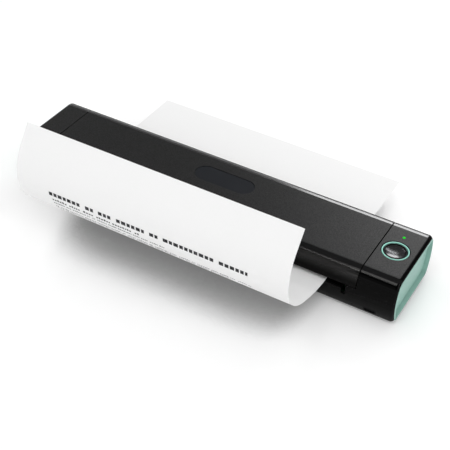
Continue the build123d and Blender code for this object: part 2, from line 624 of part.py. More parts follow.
def end_cap(side):
    """A dished cap that fills the pocket in one end of the body."""
    inner = side * (HALF_LENGTH - CAP_DEPTH)
    outer = side * (HALF_LENGTH + CAP_PROUD)
    cap = along_x(body_outline(CAP_INSET + SEAT_CLEAR), inner, outer)
    outer_face = cap.faces().sort_by(Axis.X)[-1 if side > 0 else 0]
    cap = fillet(outer_face.edges(), CAP_EDGE)
    dish = body_outline(CAP_INSET + SEAT_CLEAR + CAP_RIM)
    return cap - along_x(dish, inner + side * CAP_FLOOR, outer + side)


def left_end_cap():
    return end_cap(-1)


def right_end_cap():
    return end_cap(1)


def guide_deck(front, back):
    """A ribbed deck for the sheet, flush with both guides' tops."""
    low = GUIDE_TOP - GUIDE_THICKNESS
    deck = block((SLOT_LEFT + SEAT_CLEAR, front, low), (SLOT_RIGHT - SEAT_CLEAR, back, GUIDE_TOP))
    pitch = GUIDE_RIB_WIDTH + GUIDE_GROOVE_WIDTH
    count = int((SLOT_RIGHT - SLOT_LEFT - GUIDE_RIB_WIDTH) / pitch)
    for i in range(count):
        x = SLOT_LEFT + GUIDE_RIB_WIDTH + i * pitch
        groove_front = front + GUIDE_RIB_WIDTH
        groove_back = back - GUIDE_RIB_WIDTH
        bottom = GUIDE_TOP - GUIDE_GROOVE_DEPTH
        deck -= block((x, groove_front, bottom), (x + GUIDE_GROOVE_WIDTH, groove_back, GUIDE_TOP))
    return deck


def front_guide():
    """Deck between the front lip and the thermal head, on legs, with a window for the sensor."""
    low = GUIDE_TOP - GUIDE_THICKNESS
    deck = guide_deck(SEAT_CLEAR - side_depth(low, WALL), SIDE_PLATE_FRONT - GUIDE_TO_HEAD)
    for x, y in guide_leg_places(FRONT_LEG_Y):
        deck += rod_z(POST_RADIUS, x, y, FLOOR_TOP, GUIDE_TOP - GUIDE_GROOVE_DEPTH)
    half_length = SENSOR_LENGTH / 2 + SEAT_CLEAR
    half_width = SENSOR_WIDTH / 2 + SEAT_CLEAR
    return deck - block((sensor_x() - half_length, SENSOR_Y - half_width, 0),
                        (sensor_x() + half_length, SENSOR_Y + half_width, REACH))


def rear_guide():
    """Deck between the thermal head and the back lip, over the battery."""
    low = GUIDE_TOP - GUIDE_THICKNESS
    deck = guide_deck(SIDE_PLATE_BACK + GUIDE_TO_HEAD, side_depth(low, WALL) - SEAT_CLEAR)
    for x, y in guide_leg_places(REAR_LEG_Y):
        deck += rod_z(POST_RADIUS, x, y, FLOOR_TOP, GUIDE_TOP - GUIDE_GROOVE_DEPTH)
    return deck


def rubber_feet():
    feet = []
    for x, y in foot_places():
        foot = rod_z(FOOT_RADIUS, x, y, 0, CASE_BOTTOM + FOOT_RECESS - SEAT_CLEAR / 2)
        feet.append(fillet(foot.edges().group_by(Axis.Z)[0], FOOT_ROUND))
    return all_of(feet)


def case_screws():
    """Screws from below that hold the end blocks on the lower case."""
    places = [(x, y, FLOOR_TOP) for x, y in case_screw_places()]
    size = (SCREW_RADIUS, CASE_SCREW_LENGTH, SCREW_HEAD_RADIUS, SCREW_HEAD_HEIGHT)
    return all_of(screw(*size, place, downwards=False) for place in places)


# --- Base: drive --------------------------------------------------------------------------
def side_plate(x, foot_side):
    """Steel plate that holds a head pin and steadies a platen bush in an open notch."""
    foot_bottom = FLOOR_TOP + PLATE_POST_HEIGHT
    plate = block((x, SIDE_PLATE_FRONT, foot_bottom),
                  (x + SIDE_PLATE_THICKNESS, SIDE_PLATE_BACK, SIDE_PLATE_TOP))
    notch = BUSH_RADIUS + PART_CLEAR
    plate -= rod_x(notch, x, x + SIDE_PLATE_THICKNESS, PLATEN_Y, PLATEN_Z)
    plate -= block((x, PLATEN_Y - notch, PLATEN_Z), (x + SIDE_PLATE_THICKNESS, PLATEN_Y + notch, REACH))
    plate -= rod_x(HEAD_PIN_RADIUS + RUN_CLEAR, x, x + SIDE_PLATE_THICKNESS, HEAD_PIVOT_Y, HEAD_PIVOT_Z)
    start = x if foot_side < 0 else x + SIDE_PLATE_THICKNESS
    foot_end = start + foot_side * SIDE_FOOT_WIDTH
    foot = block((start - foot_side * SIDE_PLATE_THICKNESS, SIDE_PLATE_FRONT, foot_bottom),
                 (foot_end, SIDE_PLATE_BACK, foot_bottom + SIDE_PLATE_THICKNESS))
    for screw_x, screw_y in side_foot_screws():
        foot -= rod_z(SMALL_SCREW_RADIUS + SEAT_CLEAR, screw_x, screw_y, 0, REACH)
    return plate + foot


def left_side_plate():
    return side_plate(SIDE_PLATE_LEFT, -1)


def right_side_plate():
    return side_plate(SIDE_PLATE_RIGHT, 1)


def gear_plate():
    """Upright plate for the motor and the idler's axle, with two feet."""
    left = GEAR_PLATE_RIGHT - GEAR_PLATE_THICKNESS
    foot_bottom = FLOOR_TOP + PLATE_POST_HEIGHT
    plate = block((left, SIDE_PLATE_FRONT, foot_bottom), (GEAR_PLATE_RIGHT, GEAR_PLATE_BACK, GEAR_PLATE_TOP))
    for x, y in gear_foot_screws():
        half = POST_INSET
        foot = block((left - SIDE_FOOT_WIDTH, y - half, foot_bottom),
                     (GEAR_PLATE_RIGHT, y + half, foot_bottom + GEAR_PLATE_THICKNESS))
        plate += foot - rod_z(SMALL_SCREW_RADIUS + SEAT_CLEAR, x, y, 0, REACH)
    plate -= rod_x(IDLER_AXLE_RADIUS + FIT_CLEAR, left, GEAR_PLATE_RIGHT, IDLER_Y, IDLER_Z)
    plate -= rod_x(MOTOR_COLLAR_RADIUS + SEAT_CLEAR, left, GEAR_PLATE_RIGHT, PINION_Y, PINION_Z)
    for y, z in motor_screw_places():
        plate -= rod_x(SMALL_SCREW_RADIUS + SEAT_CLEAR, left, GEAR_PLATE_RIGHT, y, z)
    return plate


def motor_screw_places():
    reach = MOTOR_RADIUS - POST_INSET
    return [(PINION_Y, PINION_Z + reach), (PINION_Y + reach, PINION_Z)]


def motor():
    """Small stepper motor with a collar in the gear plate."""
    right = GEAR_PLATE_RIGHT - GEAR_PLATE_THICKNESS
    body = rod_x(MOTOR_RADIUS, right - MOTOR_LENGTH, right, PINION_Y, PINION_Z)
    body = fillet(body.edges().group_by(Axis.X)[0], MOTOR_ROUND)
    body += rod_x(MOTOR_COLLAR_RADIUS, right, GEAR_PLATE_RIGHT, PINION_Y, PINION_Z)
    body -= rod_x(MOTOR_SHAFT_RADIUS + RUN_CLEAR, right - MOTOR_LENGTH / 2, REACH, PINION_Y, PINION_Z)
    for y, z in motor_screw_places():
        body -= rod_x(SMALL_SCREW_RADIUS + FIT_CLEAR, right - MOTOR_SCREW_LENGTH, right, y, z)
    return body


def motor_screws():
    """Screws from the gear side into the motor."""
    head_left = GEAR_PLATE_RIGHT
    screws = []
    for y, z in motor_screw_places():
        shank = rod_x(SMALL_SCREW_RADIUS, head_left - MOTOR_SCREW_LENGTH, head_left, y, z)
        screws.append(shank + rod_x(SMALL_HEAD_RADIUS, head_left, head_left + SMALL_HEAD_HEIGHT, y, z))
    return all_of(screws)


def gear(teeth, bore, phase):
    """Spur gear section in Y and Z, with one tooth's middle at the phase angle in radians."""
    pitch_radius = GEAR_MODULE * teeth / 2
    tip = pitch_radius + GEAR_MODULE * ADDENDUM
    root = pitch_radius - GEAR_MODULE * DEDENDUM
    step = tau / teeth
    half_pitch = step * TOOTH_SHARE / 2
    half_tip = half_pitch * TIP_SHARE
    half_root = min(half_pitch * ROOT_SHARE, step / 2 - half_pitch / 2)
    points = []
    for i in range(teeth):
        middle = phase + i * step
        for radius, angle in ((root, -half_root), (pitch_radius, -half_pitch), (tip, -half_tip),
                              (tip, half_tip), (pitch_radius, half_pitch), (root, half_root)):
            points.append((radius * cos(middle + angle), radius * sin(middle + angle)))
    return make_face(Polyline(*points, close=True)) - Circle(bore)


def platen_phase():
    """A platen tooth points straight at the idler."""
    return atan2(IDLER_Z - PLATEN_Z, IDLER_Y - PLATEN_Y)


def idler_phase():
    """A gap of the idler faces the platen gear."""
    return atan2(PLATEN_Z - IDLER_Z, PLATEN_Y - IDLER_Y) + tau / IDLER_TEETH / 2


def pinion_phase():
    """The pinion's gap meets the idler tooth that is nearest to their line of centres."""
    toward_pinion = atan2(PINION_Z - IDLER_Z, PINION_Y - IDLER_Y)
    step = tau / IDLER_TEETH
    offset = (idler_phase() - toward_pinion) % step
    return toward_pinion + tau / 2 - offset * IDLER_TEETH / PINION_TEETH + tau / PINION_TEETH / 2


def idler_gear():
    section = Pos(IDLER_Y, IDLER_Z) * gear(IDLER_TEETH, IDLER_AXLE_RADIUS + RUN_CLEAR, idler_phase())
    return along_x(section, GEAR_LEFT, GEAR_RIGHT)


def motor_pinion():
    section = Pos(PINION_Y, PINION_Z) * gear(PINION_TEETH, MOTOR_SHAFT_RADIUS + FIT_CLEAR, pinion_phase())
    return along_x(section, GEAR_LEFT, GEAR_RIGHT)


def motor_shaft():
    start = GEAR_PLATE_RIGHT - GEAR_PLATE_THICKNESS - MOTOR_LENGTH / 2 + RUN_CLEAR
    return rod_x(MOTOR_SHAFT_RADIUS, start, GEAR_RIGHT + SMALL_HEAD_HEIGHT, PINION_Y, PINION_Z)


def idler_axle():
    """Pin riveted in the gear plate, with a collar and a retaining head."""
    left = GEAR_PLATE_RIGHT - GEAR_PLATE_THICKNESS
    collar = IDLER_AXLE_RADIUS + SMALL_HEAD_HEIGHT
    axle = rod_x(IDLER_AXLE_RADIUS, left, GEAR_RIGHT + PART_CLEAR, IDLER_Y, IDLER_Z)
    axle += rod_x(collar, GEAR_PLATE_RIGHT, GEAR_LEFT - PART_CLEAR, IDLER_Y, IDLER_Z)
    head = GEAR_RIGHT + PART_CLEAR
    return axle + rod_x(collar, head, head + SMALL_HEAD_HEIGHT, IDLER_Y, IDLER_Z)


def plate_screws():
    """Screws that hold the side plates and the gear plate on the floor's posts."""
    level = FLOOR_TOP + PLATE_POST_HEIGHT
    length = PLATE_POST_HEIGHT + SIDE_PLATE_THICKNESS
    places = [(x, y, level + SIDE_PLATE_THICKNESS) for x, y in side_foot_screws()]
    places += [(x, y, level + GEAR_PLATE_THICKNESS) for x, y in gear_foot_screws()]
    return all_of(small_screw(place, length) for place in places)


# --- Base: thermal head -------------------------------------------------------------------
def heat_sink():
    """Aluminium bar that carries the ceramic, with bores for its pivot pins."""
    bar = block((HEAD_LEFT, HEAD_FRONT, HEAT_SINK_BOTTOM), (HEAD_RIGHT, HEAD_BACK, CERAMIC_BOTTOM))
    bar = fillet(bar.edges().filter_by(Axis.X).group_by(Axis.Z)[0], LEAST_ROUND)
    for start, end in ((HEAD_LEFT, HEAD_LEFT + HEAD_PIN_GRIP), (HEAD_RIGHT - HEAD_PIN_GRIP, HEAD_RIGHT)):
        bar -= rod_x(HEAD_PIN_RADIUS + FIT_CLEAR, start, end, HEAD_PIVOT_Y, HEAD_PIVOT_Z)
    return bar


def thermal_head():
    """Ceramic strip with its raised heater line and the cover over its driver chips."""
    left = SHEET_CENTRE - PLATEN_LENGTH / 2
    right = SHEET_CENTRE + PLATEN_LENGTH / 2
    strip = block((left, CERAMIC_FRONT, CERAMIC_BOTTOM), (right, CERAMIC_BACK, CERAMIC_TOP))
    glaze = block((left, PLATEN_Y - GLAZE_HALF_WIDTH, CERAMIC_BOTTOM),
                  (right, PLATEN_Y + GLAZE_HALF_WIDTH, GLAZE_TOP))
    top_edges = glaze.edges().filter_by(Axis.X).group_by(Axis.Z)[-1]
    return strip + fillet(top_edges, GLAZE_ROUND)


def head_chip_cover():
    """Dark resin over the driver chips, behind the heater line."""
    left = SHEET_CENTRE - PLATEN_LENGTH / 2
    right = SHEET_CENTRE + PLATEN_LENGTH / 2
    front = PLATEN_Y + GLAZE_HALF_WIDTH + CHIP_COVER_HEIGHT
    return block((left, front, CERAMIC_TOP), (right, CERAMIC_BACK, CERAMIC_TOP + CHIP_COVER_HEIGHT))


def head_pivot_pins():
    """Two steel pins on one axis, one in each end of the heat sink."""
    left = rod_x(HEAD_PIN_RADIUS, SIDE_PLATE_LEFT - PART_CLEAR, HEAD_LEFT + HEAD_PIN_GRIP,
                 HEAD_PIVOT_Y, HEAD_PIVOT_Z)
    right = rod_x(HEAD_PIN_RADIUS, HEAD_RIGHT - HEAD_PIN_GRIP,
                  SIDE_PLATE_RIGHT + SIDE_PLATE_THICKNESS + PART_CLEAR, HEAD_PIVOT_Y, HEAD_PIVOT_Z)
    return all_of([left, right])


def head_springs():
    """Coil springs on the floor's posts that press the head up."""
    height = HEAT_SINK_BOTTOM - FLOOR_TOP - 2 * SPRING_WIRE_RADIUS - 2 * FIT_CLEAR
    path = Helix(pitch=height / SPRING_TURNS, height=height, radius=SPRING_RADIUS)
    start = Plane(origin=path @ 0, z_dir=path % 0)
    coil = sweep(start * Circle(SPRING_WIRE_RADIUS), path=path, is_frenet=True)
    bottom = FLOOR_TOP + SPRING_WIRE_RADIUS + FIT_CLEAR
    return all_of(Pos(x, y, bottom) * coil for x, y in spring_places())


# --- Base: boards, battery and controls ---------------------------------------------------
def battery_cells():
    cells = []
    for i in range(CELL_COUNT):
        left = BATTERY_LEFT + i * (CELL_LENGTH + CELL_GAP)
        cell = block((left, BATTERY_FRONT, FLOOR_TOP),
                     (left + CELL_LENGTH, BATTERY_BACK, FLOOR_TOP + BATTERY_HEIGHT))
        cells.append(fillet(cell.edges().filter_by(Axis.X), CELL_ROUND))
    return all_of(cells)


def battery_board():
    """Protection board along the right end of the battery."""
    left = BATTERY_LEFT + CELL_COUNT * (CELL_LENGTH + CELL_GAP)
    return block((left, BATTERY_FRONT + CELL_ROUND, FLOOR_TOP),
                 (left + BOARD_THICKNESS, BATTERY_BACK - CELL_ROUND, FLOOR_TOP + BATTERY_HEIGHT - CELL_ROUND))


def main_board():
    board = block((BOARD_LEFT, BOARD_FRONT, BOARD_BOTTOM), (BOARD_RIGHT, BOARD_BACK, BOARD_TOP))
    for x, y in board_screw_places():
        board -= rod_z(SMALL_SCREW_RADIUS + SEAT_CLEAR, x, y, 0, REACH)
    corner = CASE_POST_RADIUS + PART_CLEAR
    for side in (-1, 1):
        inner = (CASE_SCREW_X - corner, side * (CASE_SCREW_Y - corner), 0)
        board -= block(inner, (REACH, side * REACH, REACH))
    for x, y in side_foot_screws() + guide_leg_places(FRONT_LEG_Y) + guide_leg_places(REAR_LEG_Y):
        board -= rod_z(POST_RADIUS + PART_CLEAR, x, y, 0, REACH)
    return board


def board_chips():
    """Processor, motor driver, charger, coil and connector on the main board."""
    chips = []
    for across, along, length, width, height in BOARD_CHIPS:
        x = BOARD_LEFT + across
        y = BOARD_FRONT + along
        chips.append(block((x, y, BOARD_TOP), (x + length, y + width, BOARD_TOP + height)))
    return all_of(chips)


def board_screws():
    places = [(x, y, BOARD_TOP) for x, y in board_screw_places()]
    return all_of(small_screw(place, BOARD_THICKNESS + BOARD_CLEAR + BOARD_SCREW_BITE) for place in places)


def usb_front():
    return -side_depth(BOARD_TOP + USB_HEIGHT / 2) + USB_SINK


def usb_socket():
    """USB-C shell with its tongue, open at the front."""
    shell = extrude(usb_plane(usb_front()) * usb_outline(0), amount=USB_DEPTH)
    shell -= extrude(usb_plane(usb_front()) * usb_outline(-USB_WALL), amount=USB_DEPTH - 2 * USB_WALL)
    tongue = block((USB_X - USB_TONGUE / 2, usb_front() + USB_WALL, -USB_WALL),
                   (USB_X + USB_TONGUE / 2, usb_front() + USB_DEPTH - USB_WALL, USB_WALL))
    return shell + Pos(0, 0, BOARD_TOP + USB_HEIGHT / 2) * tongue


def reset_switch():
    """Side-push switch behind the pinhole."""
    half = RESET_SWITCH_SIZE / 2
    body = block((RESET_X - half, BOARD_FRONT, BOARD_TOP),
                 (RESET_X + half, BOARD_FRONT + RESET_SWITCH_SIZE, BOARD_TOP + 2 * RESET_HEIGHT))
    depth = RESET_TRAVEL + SLIDE_CLEAR + RESET_GRIP
    return body - rod_y(RESET_PLUNGER_RADIUS + RUN_CLEAR, RESET_X, BOARD_TOP + RESET_HEIGHT,
                        BOARD_FRONT, BOARD_FRONT + depth)


def reset_plunger():
    return rod_y(RESET_PLUNGER_RADIUS, RESET_X, BOARD_TOP + RESET_HEIGHT,
                 BOARD_FRONT - RESET_TRAVEL - SLIDE_CLEAR, BOARD_FRONT + RESET_GRIP)


def paper_sensor():
    """Reflective sensor in the front guide's window, on a flange under the deck."""
    low = GUIDE_TOP - GUIDE_THICKNESS
    half_length, half_width = SENSOR_LENGTH / 2, SENSOR_WIDTH / 2
    sensor = block((sensor_x() - half_length, SENSOR_Y - half_width, low),
                   (sensor_x() + half_length, SENSOR_Y + half_width, GUIDE_TOP))
    flange = half_length + SENSOR_FLANGE
    return sensor + block((sensor_x() - flange, SENSOR_Y - half_width, low - SENSOR_FLANGE),
                          (sensor_x() + flange, SENSOR_Y + half_width, low))


def button_board():
    board = block((BUTTON_BOARD_LEFT, BUTTON_BOARD_FRONT, BUTTON_BOARD_TOP - BOARD_THICKNESS),
                  (BUTTON_BOARD_RIGHT, BUTTON_BOARD_BACK, BUTTON_BOARD_TOP))
    for x, y in button_board_posts():
        board -= rod_z(SMALL_SCREW_RADIUS + SEAT_CLEAR, x, y, 0, REACH)
    return board


def button_board_screws():
    level = BUTTON_BOARD_TOP - BOARD_THICKNESS
    places = [(x, y, level) for x, y in button_board_posts()]
    return all_of(small_screw(place, BUTTON_SCREW_LENGTH, downwards=False) for place in places)


def power_switch():
    """Tactile switch under the power button, bored for its plunger."""
    half = SWITCH_SIZE / 2
    top = BUTTON_BOARD_TOP + SWITCH_HEIGHT
    body = block((BUTTON_X - half, BUTTON_Y - half, BUTTON_BOARD_TOP),
                 (BUTTON_X + half, BUTTON_Y + half, top))
    bottom = top - BUTTON_TRAVEL - 2 * SLIDE_CLEAR
    return body - rod_z(PLUNGER_RADIUS + SLIDE_CLEAR, BUTTON_X, BUTTON_Y, bottom, top)


def switch_plunger():
    top = BUTTON_BOARD_TOP + SWITCH_HEIGHT
    return rod_z(PLUNGER_RADIUS, BUTTON_X, BUTTON_Y, top - SLIDE_CLEAR, top + PLUNGER_PROUD)


def power_button():
    """Round button with a dished top, a retaining flange and a stem on the switch."""
    flange_bottom = FLANGE_TOP - BUTTON_FLANGE
    button = rod_z(BUTTON_RADIUS, BUTTON_X, BUTTON_Y, flange_bottom, BUTTON_TOP)
    button = fillet(button.edges().group_by(Axis.Z)[-1], BUTTON_EDGE)
    button += rod_z(BUTTON_FLANGE_RADIUS, BUTTON_X, BUTTON_Y, flange_bottom, FLANGE_TOP)
    button += rod_z(PLUNGER_RADIUS, BUTTON_X, BUTTON_Y, STEM_BOTTOM, flange_bottom)
    sphere_radius = (DISH_RADIUS**2 + DISH_DEPTH**2) / (2 * DISH_DEPTH)
    centre = BUTTON_TOP + sphere_radius - DISH_DEPTH
    return button - Pos(BUTTON_X, BUTTON_Y, centre) * Sphere(sphere_radius)


def button_ring():
    """Thin coloured ring round the button."""
    ring = rod_z(RING_OUTER, BUTTON_X, BUTTON_Y, BOSS_BOTTOM + BUTTON_LEDGE, BODY_TOP - RING_SINK)
    ring -= rod_z(RING_INNER, BUTTON_X, BUTTON_Y, 0, REACH)
    return fillet(ring.edges().group_by(Axis.Z)[-1], RING_EDGE)


def status_light():
    """Clear light pipe from the top face down to the lamp."""
    return rod_z(LIGHT_RADIUS, LIGHT_X, LIGHT_Y, BUTTON_BOARD_TOP + LED_HEIGHT + SEAT_CLEAR, BODY_TOP)


def status_led():
    half = LED_SIZE / 2
    return block((LIGHT_X - half, LIGHT_Y - half, BUTTON_BOARD_TOP),
                 (LIGHT_X + half, LIGHT_Y + half, BUTTON_BOARD_TOP + LED_HEIGHT))


# --- Cover --------------------------------------------------------------------------------
def badge_outline(margin):
    return Pos(BADGE_X, BADGE_Y) * SlotOverall(BADGE_LENGTH + 2 * margin, BADGE_WIDTH + 2 * margin)


def cover_screw_places():
    xs = (SLOT_LEFT + COVER_SCREW_INSET, SLOT_CENTRE, SLOT_RIGHT - COVER_SCREW_INSET)
    ys = (COVER_FRAME_FRONT + COVER_SCREW_EDGE, COVER_FRAME_BACK - COVER_SCREW_EDGE)
    return [(x, y) for x in xs for y in ys]


def top_cover():
    """Hinged cover: top, front and back walls, end walls, hinge bosses and detents."""
    region = block((COVER_LEFT, -REACH, COVER_FRONT_EDGE), (COVER_RIGHT, 0, REACH))
    region += block((COVER_LEFT, 0, COVER_BACK_EDGE), (COVER_RIGHT, REACH, REACH))
    form = body_solid() & region
    form = fillet(form.faces().filter_by(Axis.X).edges(), EDGE_BREAK)
    hollow = body_outline(COVER_WALL)
    cover = form - along_x(hollow, COVER_LEFT + COVER_END_WALL, COVER_RIGHT - COVER_END_WALL)
    for face, side in ((COVER_LEFT, 1), (COVER_RIGHT, -1)):
        boss_end = face + side * (HINGE_PIN_LENGTH - HINGE_BOSS_LENGTH)
        cover += rod_x(HINGE_BOSS_RADIUS, face, boss_end, HINGE_Y, HINGE_Z)
        cover -= rod_x(HINGE_PIN_RADIUS + FIT_CLEAR, face, boss_end, HINGE_Y, HINGE_Z)
        tip = face - side * DETENT_HEIGHT
        cover += rod_x(DETENT_RADIUS, tip, face + side * COVER_END_WALL / 2, DETENT_Y, DETENT_Z)
    for x, y in cover_screw_places():
        cover += rod_z(POST_RADIUS, x, y, COVER_FRAME_TOP, CEILING + COVER_WALL / 2)
        cover -= rod_z(SMALL_SCREW_RADIUS + FIT_CLEAR, x, y, 0, CEILING)
    pocket_floor = BODY_TOP - BADGE_THICKNESS - BADGE_RECESS
    return cover - extrude(Pos(0, 0, pocket_floor) * badge_outline(SEAT_CLEAR), amount=BODY_TOP)


def cover_badge():
    """Plain capsule-shaped plate, slightly sunk in the cover's top."""
    bottom = BODY_TOP - BADGE_THICKNESS - BADGE_RECESS
    badge = extrude(Pos(0, 0, bottom) * badge_outline(0), amount=BADGE_THICKNESS)
    return fillet(badge.edges().group_by(Axis.Z)[-1], BADGE_RECESS)


def cover_frame():
    """Inner frame with a cheek at each end for the platen's bushes."""
    frame = block((CHEEK_LEFT, COVER_FRAME_FRONT, COVER_FRAME_BOTTOM),
                  (CHEEK_RIGHT + CHEEK_THICKNESS, COVER_FRAME_BACK, COVER_FRAME_TOP))
    for x in (CHEEK_LEFT, CHEEK_RIGHT):
        frame += rod_x(CHEEK_RADIUS, x, x + CHEEK_THICKNESS, PLATEN_Y, PLATEN_Z)
        frame += block((x, PLATEN_Y - CHEEK_RADIUS, PLATEN_Z),
                       (x + CHEEK_THICKNESS, PLATEN_Y + CHEEK_RADIUS, COVER_FRAME_TOP))
        frame -= rod_x(BUSH_RADIUS + FIT_CLEAR, x, x + CHEEK_THICKNESS, PLATEN_Y, PLATEN_Z)
    for x, y in cover_screw_places():
        frame -= rod_z(SMALL_SCREW_RADIUS + SEAT_CLEAR, x, y, 0, REACH)
    return frame


def cover_screws():
    length = COVER_FRAME_THICKNESS + COVER_FRAME_DROP - FIT_CLEAR
    places = [(x, y, COVER_FRAME_BOTTOM) for x, y in cover_screw_places()]
    return all_of(small_screw(place, length, downwards=False) for place in places)


def hinge_pins():
    """Two steel pins, fixed in the cover and turning in the end blocks."""
    pins = []
    for face, side in ((COVER_LEFT, 1), (COVER_RIGHT, -1)):
        inner = face + side * (HINGE_PIN_LENGTH - HINGE_BOSS_LENGTH)
        outer = inner - side * HINGE_PIN_LENGTH
        pins.append(rod_x(HINGE_PIN_RADIUS, min(inner, outer), max(inner, outer), HINGE_Y, HINGE_Z))
    return all_of(pins)


def platen_bushes():
    """Plain bearings pressed in the cheeks; their noses rest in the side plates' notches."""
    bushes = []
    for face, side in ((CHEEK_LEFT, 1), (CHEEK_RIGHT + CHEEK_THICKNESS, -1)):
        ends = sorted((face, face + side * BUSH_LENGTH))
        bush = rod_x(BUSH_RADIUS, *ends, PLATEN_Y, PLATEN_Z)
        bushes.append(bush - rod_x(JOURNAL_RADIUS + RUN_CLEAR, *ends, PLATEN_Y, PLATEN_Z))
    return all_of(bushes)


# --- Platen -------------------------------------------------------------------------------
def platen_shaft():
    """Steel shaft: a thick core under the rubber and thinner journals at both ends."""
    right = CHEEK_RIGHT + CHEEK_THICKNESS + PART_CLEAR
    core_half = PLATEN_LENGTH / 2 + PART_CLEAR
    shaft = rod_x(JOURNAL_RADIUS, GEAR_LEFT, right, PLATEN_Y, PLATEN_Z)
    return shaft + rod_x(PLATEN_CORE_RADIUS, SHEET_CENTRE - core_half, SHEET_CENTRE + core_half,
                         PLATEN_Y, PLATEN_Z)


def platen_rubber():
    ends = (SHEET_CENTRE - PLATEN_LENGTH / 2, SHEET_CENTRE + PLATEN_LENGTH / 2)
    sleeve = rod_x(PLATEN_RADIUS, *ends, PLATEN_Y, PLATEN_Z)
    return sleeve - rod_x(PLATEN_CORE_RADIUS + FIT_CLEAR, *ends, PLATEN_Y, PLATEN_Z)


def platen_gear():
    section = Pos(PLATEN_Y, PLATEN_Z) * gear(PLATEN_TEETH, JOURNAL_RADIUS + FIT_CLEAR, platen_phase())
    return along_x(section, GEAR_LEFT, GEAR_RIGHT)


# --- Sheet --------------------------------------------------------------------------------
def paper_sheet():
    """The loaded sheet: flat from its back edge through the slots, then curling up in front."""
    corners = [(y, SHEET_LEVEL + rise) for y, rise, radius in SHEET_TURNS]
    free_edge = (FREE_EDGE_Y, SHEET_LEVEL + FREE_EDGE_RISE)
    path = FilletPolyline((SHEET_BACK_EDGE, SHEET_LEVEL), *corners, free_edge,
                          radius=[radius for y, rise, radius in SHEET_TURNS])
    section = make_face(offset(path, SHEET_THICKNESS, side=Side.RIGHT, closed=True))
    return along_x(section, SHEET_CENTRE - SHEET_WIDTH / 2, SHEET_CENTRE + SHEET_WIDTH / 2)


SUBPARTS = (
    lower_case, left_end_block, right_end_block, left_end_cap, right_end_cap, front_guide,
    rear_guide, rubber_feet, case_screws, left_side_plate, right_side_plate, gear_plate, motor,
    motor_screws, idler_axle, plate_screws, idler_gear, motor_pinion, motor_shaft, heat_sink,
    thermal_head, head_chip_cover, head_pivot_pins, head_springs, battery_cells, battery_board,
    main_board, board_chips, board_screws, usb_socket, reset_switch, reset_plunger, paper_sensor,
    button_board, button_board_screws, power_switch, switch_plunger, power_button, button_ring,
    status_light, status_led, top_cover, cover_badge, cover_frame, cover_screws, hinge_pins,
    platen_bushes, platen_shaft, platen_rubber, platen_gear, paper_sheet,
)

os.makedirs("parts", exist_ok=True)
for make in SUBPARTS:
    export_step(make(), f"parts/{make.__name__}.step")
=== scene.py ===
import bisect
import json
import math
import random

import bpy
from mathutils import Matrix, Vector


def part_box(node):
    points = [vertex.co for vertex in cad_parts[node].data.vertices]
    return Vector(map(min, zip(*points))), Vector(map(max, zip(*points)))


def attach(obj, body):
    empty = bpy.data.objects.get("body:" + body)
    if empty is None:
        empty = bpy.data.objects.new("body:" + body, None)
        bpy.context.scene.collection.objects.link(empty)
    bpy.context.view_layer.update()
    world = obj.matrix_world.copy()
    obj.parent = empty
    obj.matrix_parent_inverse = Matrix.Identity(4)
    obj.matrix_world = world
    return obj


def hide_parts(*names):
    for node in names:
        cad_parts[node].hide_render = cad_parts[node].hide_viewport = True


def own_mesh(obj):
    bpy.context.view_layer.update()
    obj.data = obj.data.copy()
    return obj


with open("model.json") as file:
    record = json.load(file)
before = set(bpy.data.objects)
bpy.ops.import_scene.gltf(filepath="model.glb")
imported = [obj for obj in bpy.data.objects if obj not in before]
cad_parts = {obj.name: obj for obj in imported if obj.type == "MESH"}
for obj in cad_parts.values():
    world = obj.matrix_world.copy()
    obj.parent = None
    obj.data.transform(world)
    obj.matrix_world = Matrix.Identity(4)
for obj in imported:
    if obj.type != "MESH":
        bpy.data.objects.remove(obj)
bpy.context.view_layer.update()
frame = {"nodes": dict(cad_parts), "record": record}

MM = 0.001
NODES = frame["nodes"]


def new_object(name, data):
    made = bpy.data.objects.new(name, data)
    bpy.context.scene.collection.objects.link(made)
    return made


# ---------------------------------------------------------------- camera, in millimetres and degrees
AZIMUTH, ELEVATION, ROLL = 28.12, 39.31, 2.87   # azimuth runs from the front towards +X
LOOK_AT = (0.0, 0.5, 21.2)
OFFSET = (-4.80, 17.65, 768.23)                 # where LOOK_AT lies for the camera: right, up, in front
FOCAL_PX, FRAME_PX, SENSOR = 1043.4, 450, 36


def make_camera():
    a, e, r = (math.radians(v) for v in (AZIMUTH, ELEVATION, ROLL))
    back = Vector((math.sin(a) * math.cos(e), -math.cos(a) * math.cos(e), math.sin(e)))
    level = (-back).cross(Vector((0, 0, 1))).normalized()
    up = level.cross(-back)
    right = math.cos(r) * level + math.sin(r) * up
    top = -math.sin(r) * level + math.cos(r) * up
    place = Vector(LOOK_AT) - OFFSET[0] * right - OFFSET[1] * top + OFFSET[2] * back
    data = bpy.data.cameras.new("camera")
    data.sensor_width = SENSOR
    data.lens = SENSOR * FOCAL_PX / FRAME_PX
    data.clip_start, data.clip_end = 0.01, 100
    camera = new_object("camera", data)
    turn = Matrix((right, top, back)).transposed()
    camera.matrix_world = Matrix.Translation(place * MM) @ turn.to_4x4()
    bpy.context.scene.camera = camera


